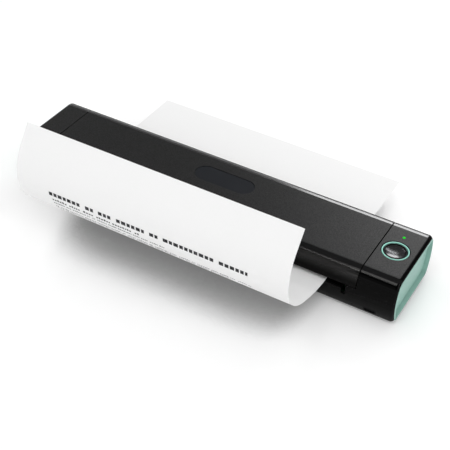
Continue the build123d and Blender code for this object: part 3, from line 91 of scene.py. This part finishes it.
# ---------------------------------------------------------------- node trees
class Graph:
    """A node tree, with short ways to add to it. A value is a number or another node's output."""

    def __init__(self, tree):
        self.tree = tree

    def add(self, kind, sockets=None, **settings):
        node = self.tree.nodes.new(kind)
        for key, value in settings.items():
            setattr(node, key, value)
        for key, value in (sockets or {}).items():
            if isinstance(value, bpy.types.NodeSocket):
                self.tree.links.new(value, node.inputs[key])
            else:
                node.inputs[key].default_value = value
        return node

    def math(self, operation, *values, clamp=False):
        sockets = dict(enumerate(values))
        return self.add("ShaderNodeMath", sockets, operation=operation, use_clamp=clamp).outputs[0]

    def times(self, first, second):
        return self.math("MULTIPLY", first, second)

    def ramp(self, value, low, high, at_low=0.0, at_high=1.0, kind="SMOOTHSTEP"):
        ends = {"From Min": low, "From Max": high, "To Min": at_low, "To Max": at_high}
        return self.add("ShaderNodeMapRange", {"Value": value, **ends}, interpolation_type=kind).outputs[0]

    def blend(self, share, first, second):
        return self.add("ShaderNodeMix", {0: share, 2: first, 3: second}, data_type="FLOAT").outputs[0]

    def part(self, vector, letter):
        return self.add("ShaderNodeSeparateXYZ", {0: vector}).outputs[letter]

    def rays(self):
        return self.add("ShaderNodeLightPath").outputs

    def directly_seen(self):
        """1 for rays from the camera, off gloss or through glass, and 0 for the rest."""
        rays = self.rays()
        two = self.math("ADD", rays["Is Camera Ray"], rays["Is Glossy Ray"])
        return self.math("ADD", two, rays["Is Transmission Ray"], clamp=True)


class Paint(Graph):
    """One node material round a Principled shader."""

    def __init__(self, name, **sockets):
        self.material = bpy.data.materials.new(name)
        self.material.use_nodes = True
        super().__init__(self.material.node_tree)
        self.shader = self.tree.nodes["Principled BSDF"]
        for socket, value in sockets.items():
            self.shader.inputs[socket.replace("_", " ")].default_value = value
        self.where = self.add("ShaderNodeTexCoord").outputs["Object"]

    def noise(self, scale, detail=4, stretch=(1, 1, 1), roughness=0.55):
        at = self.add("ShaderNodeMapping", {"Vector": self.where, "Scale": stretch}).outputs[0]
        settings = {"Vector": at, "Scale": scale, "Detail": detail, "Roughness": roughness}
        return self.add("ShaderNodeTexNoise", settings).outputs["Fac"]

    def axis(self, letter):
        return self.part(self.where, letter)

    def reach(self, middle):
        """Distance from an upright line through a point (x, y), given in millimetres."""
        x = self.math("SUBTRACT", self.axis("X"), middle[0] * MM)
        y = self.math("SUBTRACT", self.axis("Y"), middle[1] * MM)
        return self.math("SQRT", self.math("ADD", self.math("POWER", x, 2.0), self.math("POWER", y, 2.0)))

    def mix(self, share, first, second):
        """Blend of two colours, each given as three numbers or as an output."""
        first, second = (c if isinstance(c, bpy.types.NodeSocket) else (*c, 1) for c in (first, second))
        return self.add("ShaderNodeMix", {0: share, 6: first, 7: second}, data_type="RGBA").outputs[2]

    def edges(self, low=0.52, high=0.62):
        return self.ramp(self.add("ShaderNodeNewGeometry").outputs["Pointiness"], low, high)

    def bump(self, height, strength, distance):
        """Adds to the bump that is there already. The distance is in millimetres."""
        sockets = {"Height": height, "Strength": strength, "Distance": distance * MM}
        for link in self.shader.inputs["Normal"].links:
            sockets["Normal"] = link.from_socket
        self.set("Normal", self.add("ShaderNodeBump", sockets).outputs[0])

    def set(self, socket, value):
        self.tree.links.new(value, self.shader.inputs[socket])


# ---------------------------------------------------------------- materials
COVER_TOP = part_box("top_cover")[1]
BACK_TURN = COVER_TOP.y - 8.8 * MM   # the back edge's polish starts here, on the flat top
BACK_FALL = 2.8 * MM                 # width over which that polish seems to turn down
BACK_DEPTH = 0.66                    # and by how much, in millimetres
FRONT_TURN = (-24 * MM, -26 * MM)    # the front edge's line fades in between these
# Each part of the black fades in between two depths below the flat top, in millimetres.
FLAT_TOP, LIP, TURNING, CREST = (0.12, 0.02), (0.18, 0.10), (2.2, 1.6), (1.5, 1.1)
BROW_FOOT, BROW_HEAD, FRONT_POLISH = (2.3, 1.9), (1.0, 1.4), (11.5, 4)
LIP_POLISH = (0.10, 0.10, 0.102)
BROW_POLISH = (0.027, 0.0265, 0.026)
CREST_BLACK = (0.010, 0.010, 0.0102)
MATTE_BLACK = (0.0105, 0.0105, 0.0108)
CASE_GLOSS, CASE_BELOW = (0.0020, 0.0020, 0.0020), (0.006, 0.006, 0.006)
COVER_GLOSS, COVER_BELOW = (0.0023, 0.0022, 0.0021), (0.032, 0.0315, 0.031)
BUTTON_MIDDLE, LIGHT_MIDDLE = (138.6, 0.2), (138.3, 16.1)   # x, y in millimetres
RING_PITCH, FINE_PITCH = 1.5 * MM, 0.3 * MM                 # rings turned in the button's dish
DISH_SHADE_EDGE, LIGHT_EDGE = (6.0 * MM, 7.2 * MM), (0.2 * MM, 1.1 * MM)   # radii where each turns dark; on the dish it is painted shade by the gap to the ring


def tone(colour, factor):
    return tuple(min(1.0, c * factor) for c in colour)


def plastic(name, colour, rough, grain, depth, worn, specular=0.5):
    """Moulded plastic: fine grain, slow mottling, handled patches and edges rubbed a little paler."""
    p = Paint(name, Specular_IOR_Level=specular)
    mottled = p.mix(p.noise(45, 5), tone(colour, 0.93), tone(colour, 1.07))
    p.set("Base Color", p.mix(p.times(p.edges(), 0.5), mottled, tone(colour, worn)))
    handled = p.noise(28, 3)
    p.set("Roughness", p.ramp(handled, 0.3, 0.7, rough * 0.9, rough * 1.12))
    p.bump(p.noise(grain, 2), 0.5, depth)
    return p.material


def two_finish_black(name, gloss, below_brow, sheen):
    """Black plastic in two finishes: a fine texture with a satin sheen on the flat top, and polished rounded
    sides. Where the top turns over there is a bright lip at the back, and in front a light line, the brow,
    under a darker crest. Below the brow the polish fades down the front."""
    p = Paint(name, Specular_IOR_Level=0.05, Coat_Roughness=0.43)
    y, z = p.axis("Y"), p.axis("Z")

    def below_top(start, end):
        """0 to 1 from one depth below the top to another, in millimetres."""
        return p.ramp(z, COVER_TOP.z - start * MM, COVER_TOP.z - end * MM)

    def apart_from(mask):
        return p.math("SUBTRACT", 1.0, mask)

    behind = p.ramp(y, BACK_TURN - 0.1 * MM, BACK_TURN + 0.1 * MM)
    flat = p.times(below_top(*FLAT_TOP), apart_from(behind))
    lip = p.times(behind, below_top(*LIP))
    turning = p.times(p.math("SUBTRACT", behind, lip), below_top(*TURNING))
    in_front = p.ramp(y, *FRONT_TURN)
    brow = p.times(below_top(*BROW_FOOT), below_top(*BROW_HEAD))
    crest = p.times(in_front, below_top(*CREST))
    front = p.times(p.times(in_front, apart_from(flat)), below_top(*FRONT_POLISH))

    speck = p.noise(1300, 3, roughness=0.75)
    slow = p.noise(16, 4)
    dull = p.mix(p.ramp(speck, 0.35, 0.65), tone(MATTE_BLACK, 0.62), tone(MATTE_BLACK, 1.45))
    dull = p.mix(p.times(p.ramp(slow, 0.35, 0.7), 0.3), dull, tone(MATTE_BLACK, 1.18))
    shiny = p.mix(p.noise(60, 3), tone(gloss, 0.9), tone(gloss, 1.1))
    # Edges of the polished black are lighter: partly rubbed wear, partly a painted edge highlight.
    shiny = p.mix(p.times(p.edges(), 0.35), shiny, tone(gloss, 2.2))
    sides = p.mix(front, shiny, p.mix(brow, below_brow, BROW_POLISH))
    body = p.mix(flat, p.mix(crest, sides, CREST_BLACK), dull)
    p.set("Base Color", p.mix(lip, body, LIP_POLISH))
    p.set("Metallic", p.math("MAXIMUM", lip, p.times(front, apart_from(crest))))
    p.set("Coat Weight", p.times(flat, p.ramp(speck, 0.3, 0.7, 0.72 * sheen, 1.28 * sheen)))

    rough = p.blend(lip, 0.12, 0.2)      # polished sides, and the lip
    rough = p.blend(flat, rough, 0.46)   # the texture of the top
    rough = p.blend(turning, rough, 0.7)
    wiped = p.ramp(p.noise(22, 4), 0.3, 0.75, 0.92, 1.1)
    p.set("Roughness", p.times(rough, wiped))
    swell = p.times(p.noise(90, 2), 0.12)
    p.bump(p.math("ADD", p.times(speck, flat), swell), 0.55, 0.06)
    p.bump(p.ramp(y, BACK_TURN, BACK_TURN + BACK_FALL, 1.0, 0.0, kind="LINEAR"), 1.0, BACK_DEPTH)
    return p.material


def metal(name, colour, rough, stretch=(1, 1, 1), grain=900):
    """Metal with drawn or ground lines, a few dull patches and bright rubbed edges."""
    p = Paint(name, Metallic=1.0)
    lines = p.noise(grain, 4, stretch)
    drawn = p.mix(lines, tone(colour, 0.85), tone(colour, 1.08))
    p.set("Base Color", p.mix(p.edges(0.51, 0.58), drawn, tone(colour, 1.2)))
    p.set("Roughness", p.ramp(p.math("ADD", lines, p.noise(60, 3)), 0.6, 1.4, rough * 0.75, rough * 1.3))
    p.bump(lines, 0.25, 0.01)
    return p.material


def rubber(name, colour, rough):
    """Ground or moulded rubber: dusty patches and a fine pitted skin."""
    p = Paint(name, Specular_IOR_Level=0.3)
    dust = p.ramp(p.noise(70, 5), 0.45, 0.75)
    p.set("Base Color", p.mix(p.times(dust, 0.4), colour, tone(colour, 1.8)))
    p.set("Roughness", p.ramp(p.noise(150, 3), 0.3, 0.7, rough * 0.92, rough * 1.08))
    p.bump(p.noise(3500, 3), 0.5, 0.03)
    return p.material


def circuit(name):
    """Green solder resist with copper tracks showing through as paler lines, and small tinned pads."""
    p = Paint(name, Specular_IOR_Level=0.5, Coat_Weight=0.3, Coat_Roughness=0.15)
    at = p.add("ShaderNodeMapping", {"Vector": p.where, "Scale": (1, 1, 0)}).outputs[0]

    def cells(scale, randomness, **settings):
        sockets = {"Vector": at, "Scale": scale, "Randomness": randomness}
        return p.add("ShaderNodeTexVoronoi", sockets, **settings).outputs["Distance"]

    lines = p.math("PINGPONG", cells(320.0, 0.55, distance="MANHATTAN", feature="F2"), 0.22)
    track = p.ramp(lines, 0.09, 0.11)
    pad = p.ramp(cells(260.0, 0.9), 0.14, 0.11)
    green = p.mix(track, (0.012, 0.10, 0.035), (0.03, 0.19, 0.07))
    p.set("Base Color", p.mix(pad, green, (0.62, 0.60, 0.54)))
    p.set("Roughness", p.ramp(track, 0, 1, 0.32, 0.4))
    p.bump(p.math("ADD", track, pad), 0.4, 0.03)
    return p.material


def paper(name):
    """Thermal paper: a smooth coated face with faint fibre in it, clouded a little."""
    p = Paint(name, Specular_IOR_Level=0.25, Sheen_Weight=0.05)
    fibre = p.noise(1400, 4, (1, 0.35, 0.35), 0.7)
    white = p.mix(fibre, (0.86, 0.86, 0.86), (0.90, 0.90, 0.90))
    p.set("Base Color", p.mix(p.times(p.noise(30, 3), 0.5), white, (0.885, 0.885, 0.88)))
    p.set("Roughness", p.ramp(p.noise(200, 2), 0.3, 0.7, 0.5, 0.62))
    p.bump(fibre, 0.2, 0.02)
    return p.material


def turned_dish(name):
    """Dark polished metal-like dish with fine rings turned round the button's middle, and a rim painted near
    black as shade by the gap to the ring.
    """
    p = Paint(name, Metallic=0.85, Roughness=0.2)
    reach = p.reach(BUTTON_MIDDLE)
    rings = p.math("SINE", p.times(reach, math.tau / RING_PITCH))
    fine = p.math("SINE", p.times(reach, math.tau / FINE_PITCH))
    worn = p.noise(260, 2)
    dark = p.mix(p.ramp(rings, -1, 1), (0.085, 0.086, 0.09), (0.13, 0.131, 0.136))
    dark = p.mix(p.times(worn, 0.2), dark, (0.13, 0.13, 0.135))
    # Painted shade: the dish turns near black towards its rim, next to the gap to the ring.
    p.set("Base Color", p.mix(p.ramp(reach, *DISH_SHADE_EDGE), dark, (0.004, 0.004, 0.004)))
    p.set("Roughness", p.ramp(worn, 0.3, 0.7, 0.20, 0.23))
    p.bump(p.math("ADD", rings, p.times(fine, 0.1)), 0.2, 0.03)
    return p.material


def light_pipe(name):
    """Green light showing through a small clear lens, brightest in the middle."""
    p = Paint(name, Base_Color=(0.004, 0.42, 0.01, 1), Roughness=0.45, Specular_IOR_Level=0.02,
              Emission_Strength=0.35)
    outer = p.ramp(p.reach(LIGHT_MIDDLE), *LIGHT_EDGE)
    p.set("Emission Color", p.mix(outer, (0.02, 1.0, 0.03), (0.0, 0.5, 0.01)))
    p.bump(p.noise(900, 2), 0.2, 0.02)
    return p.material


def thermal_print(name):
    """Thermal print: near black, greyer where the head printed lightly."""
    p = Paint(name, Specular_IOR_Level=0.2)
    light = p.noise(420, 4, roughness=0.7)
    p.set("Base Color", p.mix(p.ramp(light, 0.35, 0.8), (0.006, 0.006, 0.007), (0.075, 0.075, 0.08)))
    p.set("Roughness", p.ramp(p.noise(300, 2), 0.3, 0.7, 0.5, 0.65))
    p.bump(light, 0.2, 0.01)
    return p.material


def dress():
    """A finish for each material slot, and one of their own for a few nodes."""
    by_slot = {
        "case_black": two_finish_black("case_black", CASE_GLOSS, CASE_BELOW, sheen=0.3),
        "cover_black": two_finish_black("cover_black", COVER_GLOSS, COVER_BELOW, sheen=0.78),
        "badge_black": plastic("badge_black", (0.017, 0.0185, 0.022), rough=0.34, grain=3000, depth=0.01,
                               worn=1.6, specular=0.2),
        "mint": plastic("mint", (0.31, 0.50, 0.443), rough=0.46, grain=4200, depth=0.012, worn=1.12,
                        specular=0.25),
        "button_black": turned_dish("button_black"),
        "light_green": light_pipe("light_green"),
        "foot_rubber": rubber("foot_rubber", (0.012, 0.012, 0.012), rough=0.8),
        "roller_rubber": rubber("roller_rubber", (0.025, 0.025, 0.027), rough=0.7),
        "steel": metal("steel", (0.60, 0.60, 0.61), rough=0.28, stretch=(0.05, 1, 1)),
        "plated_steel": metal("plated_steel", (0.66, 0.65, 0.61), rough=0.33),
        "aluminium": metal("aluminium", (0.72, 0.73, 0.74), rough=0.36, stretch=(0.04, 1, 1)),
        "ceramic": plastic("ceramic", (0.78, 0.75, 0.68), rough=0.18, grain=5000, depth=0.006, worn=1.05),
        "resin_black": plastic("resin_black", (0.012, 0.012, 0.013), rough=0.42, grain=1800, depth=0.03,
                               worn=1.6),
        "gear_white": plastic("gear_white", (0.72, 0.70, 0.64), rough=0.35, grain=2600, depth=0.01,
                              worn=1.06),
        "bush_grey": plastic("bush_grey", (0.20, 0.20, 0.19), rough=0.4, grain=2600, depth=0.012, worn=1.2),
        "board_green": circuit("board_green"),
        "cell_silver": metal("cell_silver", (0.55, 0.56, 0.58), rough=0.42, grain=240),
        "paper": paper("paper"),
    }
    ends = two_finish_black("end_black", CASE_GLOSS, CASE_BELOW, sheen=0.9)
    by_node = {
        "left_end_block": ends,
        "right_end_block": ends,
        "button_ring": plastic("ring_mint", (0.33, 0.72, 0.61), rough=0.3, grain=4200, depth=0.006, worn=1.1,
                               specular=0.4),
        "usb_socket": metal("usb_black", (0.016, 0.016, 0.017), rough=0.4, grain=1500),
    }
    slots = {part["node"]: part["material_slot"] for part in frame["record"]["subparts"]}
    for name, node in NODES.items():
        finish = by_node.get(name) or by_slot[slots[name]]
        for place in node.material_slots:
            place.material = finish


def sprung_coils():
    """A copy of the head's coil springs, with a mesh of its own, riding on the base in place of the rigid
    node; the real springs shorten as the head tilts.
    """
    coils = new_object("head_coils", NODES["head_springs"].data.copy())
    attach(coils, "base")
    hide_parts("head_springs")
    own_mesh(coils)


# ---------------------------------------------------------------- printed page, in millimetres
PAPER_TURNS = (      # outer side of the sheet from its back edge to its free edge: y, z, radius
    (98.0, 19.3, 0.0),
    (-45.8, 19.3, 80.0),
    (-79.2, 29.6, 45.0),
    (-94.9, 49.6, 32.0),
    (-94.9, 74.1, 38.0),
    (-79.0, 96.4, 0.0),
)
ARC_STEPS = 40
BAR_STEP = 0.9       # a bar is cut into steps of about this, so that it follows the curl
INK_LIFT = 0.02
PAGE_SEED = 7
# Rows run along X. Their tops are distances along the sheet from its free edge.
TITLE = dict(left=-79.5, right=75, top=42.0, height=3.1, words=(26, 6.5, 10.5, 22, 6.5, 38, 24))
SUBTITLE = dict(left=-77.5, right=-6, top=47.6, height=1.9)
TEXT_LEFT, TEXT_RIGHT, TEXT_TOP, TEXT_HEIGHT = -77.5, 76.0, 51.6, 1.3
LINE_PITCH, PARAGRAPH_GAP = 2.75, 2.0
PARAGRAPHS = (       # number of lines, and where the last of them ends
    (1, 12), (2, 60), (4, 20), (5, 48), (3, -30), (6, 66), (5, 5), (4, 40), (5, 70),
)
# The rest are shares of a row's height, apart from BLOCK_WIDTHS.
BOLD_BLOCK, PLAIN_BLOCK = (1.05, 0.3), (0.75, 0.35)   # width of a block, and the gap after it
BLOCK_WIDTHS = (0.75, 1.15)                           # what a block's width is stretched by, from and to
SHORTER = (0.0, 0.25, 0.25)                           # what a plain block lacks at the top
WORD_LENGTHS = (1.8, 8.5)
BOLD_SPACE, PLAIN_SPACE = 1.3, 1.0                    # between words


def paper_path():
    """Points (y, z) along the sheet's outer side, from its free edge to its back edge."""
    places = [Vector(turn[:2]) for turn in PAPER_TURNS]
    path = [places[0]]
    for i in range(1, len(places) - 1):
        before, corner, after = places[i - 1:i + 2]
        u, v = (before - corner).normalized(), (after - corner).normalized()
        half = math.acos(u.dot(v)) / 2
        radius = PAPER_TURNS[i][2]
        middle = corner + (u + v).normalized() * radius / math.sin(half)
        start = corner + u * radius / math.tan(half) - middle
        end = corner + v * radius / math.tan(half) - middle
        sweep = start.angle_signed(end)
        for k in range(ARC_STEPS + 1):
            turn = Matrix.Rotation(-sweep * k / ARC_STEPS, 2)
            path.append(middle + turn @ start)
    path.append(places[-1])
    path.reverse()
    return path


class Page:
    """Rows of plain bars laid on the sheet's outer side."""

    def __init__(self):
        self.path = paper_path()
        self.reach = [0.0]
        for a, b in zip(self.path, self.path[1:]):
            self.reach.append(self.reach[-1] + (b - a).length)
        self.points, self.faces = [], []
        self.random = random.Random(PAGE_SEED)

    def at(self, distance):
        """The point (y, z) just outside the sheet, this far along it."""
        i = min(max(bisect.bisect(self.reach, distance) - 1, 0), len(self.path) - 2)
        a, b = self.path[i], self.path[i + 1]
        along = (b - a).normalized()
        out = Vector((along.y, -along.x))
        if out.dot(Vector((-1, -1))) < 0:
            out = -out
        return a + along * (distance - self.reach[i]) + out * INK_LIFT

    def bar(self, left, right, top, bottom):
        steps = max(1, round((bottom - top) / BAR_STEP))
        base = len(self.points)
        for k in range(steps + 1):
            place = self.at(top + (bottom - top) * k / steps)
            self.points += [(x * MM, place.x * MM, place.y * MM) for x in (left, right)]
        for k in range(steps):
            i = base + 2 * k
            self.faces.append((i, i + 1, i + 3, i + 2))

    def word(self, left, right, top, height, bold):
        """One word: upright blocks, some a little shorter than the row."""
        wide, gap = (share * height for share in (BOLD_BLOCK if bold else PLAIN_BLOCK))
        x = left
        while x < right - wide / 2:
            end = min(x + wide * self.random.uniform(*BLOCK_WIDTHS), right)
            short = 0.0 if bold else self.random.choice(SHORTER)
            self.bar(x, end, top + height * short, top + height)
            x = end + gap

    def row(self, left, right, top, height, words=()):
        """One line of words, of the given lengths and bold, or of random lengths."""
        bold = bool(words)
        words = list(words)
        x = left
        while x < right - height:
            length = words.pop(0) if words else self.random.uniform(*WORD_LENGTHS) * height
            self.word(x, min(x + length, right), top, height, bold)
            x += length + height * (BOLD_SPACE if bold else PLAIN_SPACE)

    def piece(self, name, material):
        mesh = bpy.data.meshes.new(name)
        mesh.from_pydata(self.points, [], self.faces)
        mesh.materials.append(material)
        ink = new_object(name, mesh)
        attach(ink, "base")


def print_page():
    page = Page()
    page.row(**TITLE)
    page.row(**SUBTITLE)
    at = TEXT_TOP
    for lines, last in PARAGRAPHS:
        for line in range(lines):
            page.row(TEXT_LEFT, last if line == lines - 1 else TEXT_RIGHT, at, TEXT_HEIGHT)
            at += LINE_PITCH
        at += PARAGRAPH_GAP
    page.piece("printed_rows", thermal_print("thermal_ink"))


# ---------------------------------------------------------------- floor and light, in metres
FLOOR_HALF = 6.0
OPEN_WHITE, OPEN_LIFT = 0.95, 0.10         # the open floor: its colour, and light added where it is seen
SHADOW_GREY, SHADOW_LIFT = 0.20, 0.115   # painted shadow on the floor under the curl, as the camera sees it: the same two
SHADE_LEAN = (-0.36, 0.08, 0.93)           # the way the open light comes from
SHADE_REACH = 0.062                        # how far away a surface still covers the floor
SHADE_FULL, SHADE_GONE = 0.26, 0.62        # openness at which the shade is full, and gone
BESIDE = (0.083, 0.112)                    # the shade fades out between these distances left and right
FAR = (0.26, 0.6)                          # the floor fades to plain white between these distances
WORLD_LIGHT = 0.58
HORIZON_LEVEL, CEILING_LEVEL = 1.0, 0.06   # what gloss sees of the studio
HORIZON_END, CEILING_START = 0.04, 0.25    # sines of the heights where one turns into the other
TARGET = (0, 0, 0.03)
LAMPS = (                                  # name, place, aim, size, watts
    ("top_front", (0.1, -0.8, 1.5), TARGET, (0.8, 0.8), 5.2),
    ("left_high", (-1.2, 0.3, 1.2), TARGET, (0.8, 0.8), 2.4),
    ("near_right", (0.13, 0.5, 0.42), (0.13, 0, 0.03), (0.38, 0.11), 0.56),
    ("back_panel", (-0.14, 1.25, 0.33), (0.05, 0, 0.03), (0.42, 0.42), 2.5),
    ("bevel_strip", (-0.48, -0.2, 1.2), TARGET, (2.4, 0.014), 2.0),
    ("front_fill", (-0.4, -2.3, 0.8), (0, 0, 0.04), (3.0, 1.4), 6.6),
    ("right_fill", (1.9, -0.5, 0.7), (0.1, 0, 0.02), (1.2, 1.2), 9),
)


def floor_material():
    """White floor that is plain white far out. Under the curl, rays from the camera find a painted shadow: a
    grey patch where nearby surfaces cover the floor.
    """
    material = bpy.data.materials.new("floor_white")
    material.use_nodes = True
    g = Graph(material.node_tree)
    g.tree.nodes.clear()

    def lit(grey, lift):
        """A diffuse colour with a little light of its own."""
        colour = g.add("ShaderNodeBsdfDiffuse", {"Color": (grey, grey, grey, 1)}).outputs[0]
        glow = g.add("ShaderNodeEmission", {"Strength": lift}).outputs[0]
        return g.add("ShaderNodeAddShader", {0: colour, 1: glow}).outputs[0]

    def mixed(share, first, second):
        return g.add("ShaderNodeMixShader", {0: share, 1: first, 2: second}).outputs[0]

    seen = g.directly_seen()
    place = g.add("ShaderNodeTexCoord").outputs["Object"]
    reach = g.add("ShaderNodeVectorMath", {0: place}, operation="LENGTH").outputs["Value"]
    white = g.add("ShaderNodeEmission", {"Strength": 1.0}).outputs[0]
    open_floor = mixed(g.times(g.ramp(reach, *FAR), seen), lit(OPEN_WHITE, g.times(seen, OPEN_LIFT)), white)

    # Painted shadow: the occlusion test below decides where camera rays see the grey patch instead of the
    # lit white floor.
    leaning = g.add("ShaderNodeCombineXYZ", dict(enumerate(SHADE_LEAN))).outputs[0]
    closed = g.add("ShaderNodeAmbientOcclusion", {"Distance": SHADE_REACH, "Normal": leaning}, samples=12)
    share = g.ramp(closed.outputs["AO"], SHADE_FULL, SHADE_GONE)
    across = g.part(place, "X")
    beside = g.math("MAXIMUM", g.ramp(across, -BESIDE[0], -BESIDE[1]), g.ramp(across, *BESIDE))
    share = g.blend(beside, share, 1.0)
    share = g.blend(g.rays()["Is Camera Ray"], 1.0, share)
    total = mixed(share, lit(SHADOW_GREY, SHADOW_LIFT), open_floor)
    g.add("ShaderNodeOutputMaterial", {"Surface": total})
    return material


def make_floor():
    mesh = bpy.data.meshes.new("floor")
    corners = [(x * FLOOR_HALF, y * FLOOR_HALF, 0) for x, y in ((-1, -1), (1, -1), (1, 1), (-1, 1))]
    mesh.from_pydata(corners, [], [(0, 1, 2, 3)])
    mesh.materials.append(floor_material())
    floor = new_object("floor", mesh)


def make_world():
    """White behind everything; in reflections the studio is white at the horizon and dark overhead."""
    world = bpy.data.worlds.new("studio")
    bpy.context.scene.world = world
    world.use_nodes = True
    g = Graph(world.node_tree)
    height = g.part(g.add("ShaderNodeTexCoord").outputs["Generated"], "Z")
    ceiling = g.ramp(height, HORIZON_END, CEILING_START, HORIZON_LEVEL, CEILING_LEVEL)
    shown = g.blend(g.rays()["Is Camera Ray"], ceiling, 1.0)
    level = g.blend(g.directly_seen(), WORLD_LIGHT, shown)
    sky = g.tree.nodes["Background"]
    sky.inputs["Color"].default_value = (1, 1, 1, 1)
    g.tree.links.new(level, sky.inputs["Strength"])


def make_lamp(name, place, aim, size, watts):
    data = bpy.data.lights.new(name, "AREA")
    data.shape = "RECTANGLE"
    data.size, data.size_y = size
    data.energy = watts
    light = new_object(name, data)
    light.location = place
    light.rotation_mode = "QUATERNION"
    light.rotation_quaternion = (Vector(aim) - Vector(place)).to_track_quat("-Z", "Y")


make_camera()
dress()
sprung_coils()
print_page()
make_floor()
make_world()
for lamp in LAMPS:
    make_lamp(*lamp)

bpy.context.scene.view_settings.view_transform = "Standard"
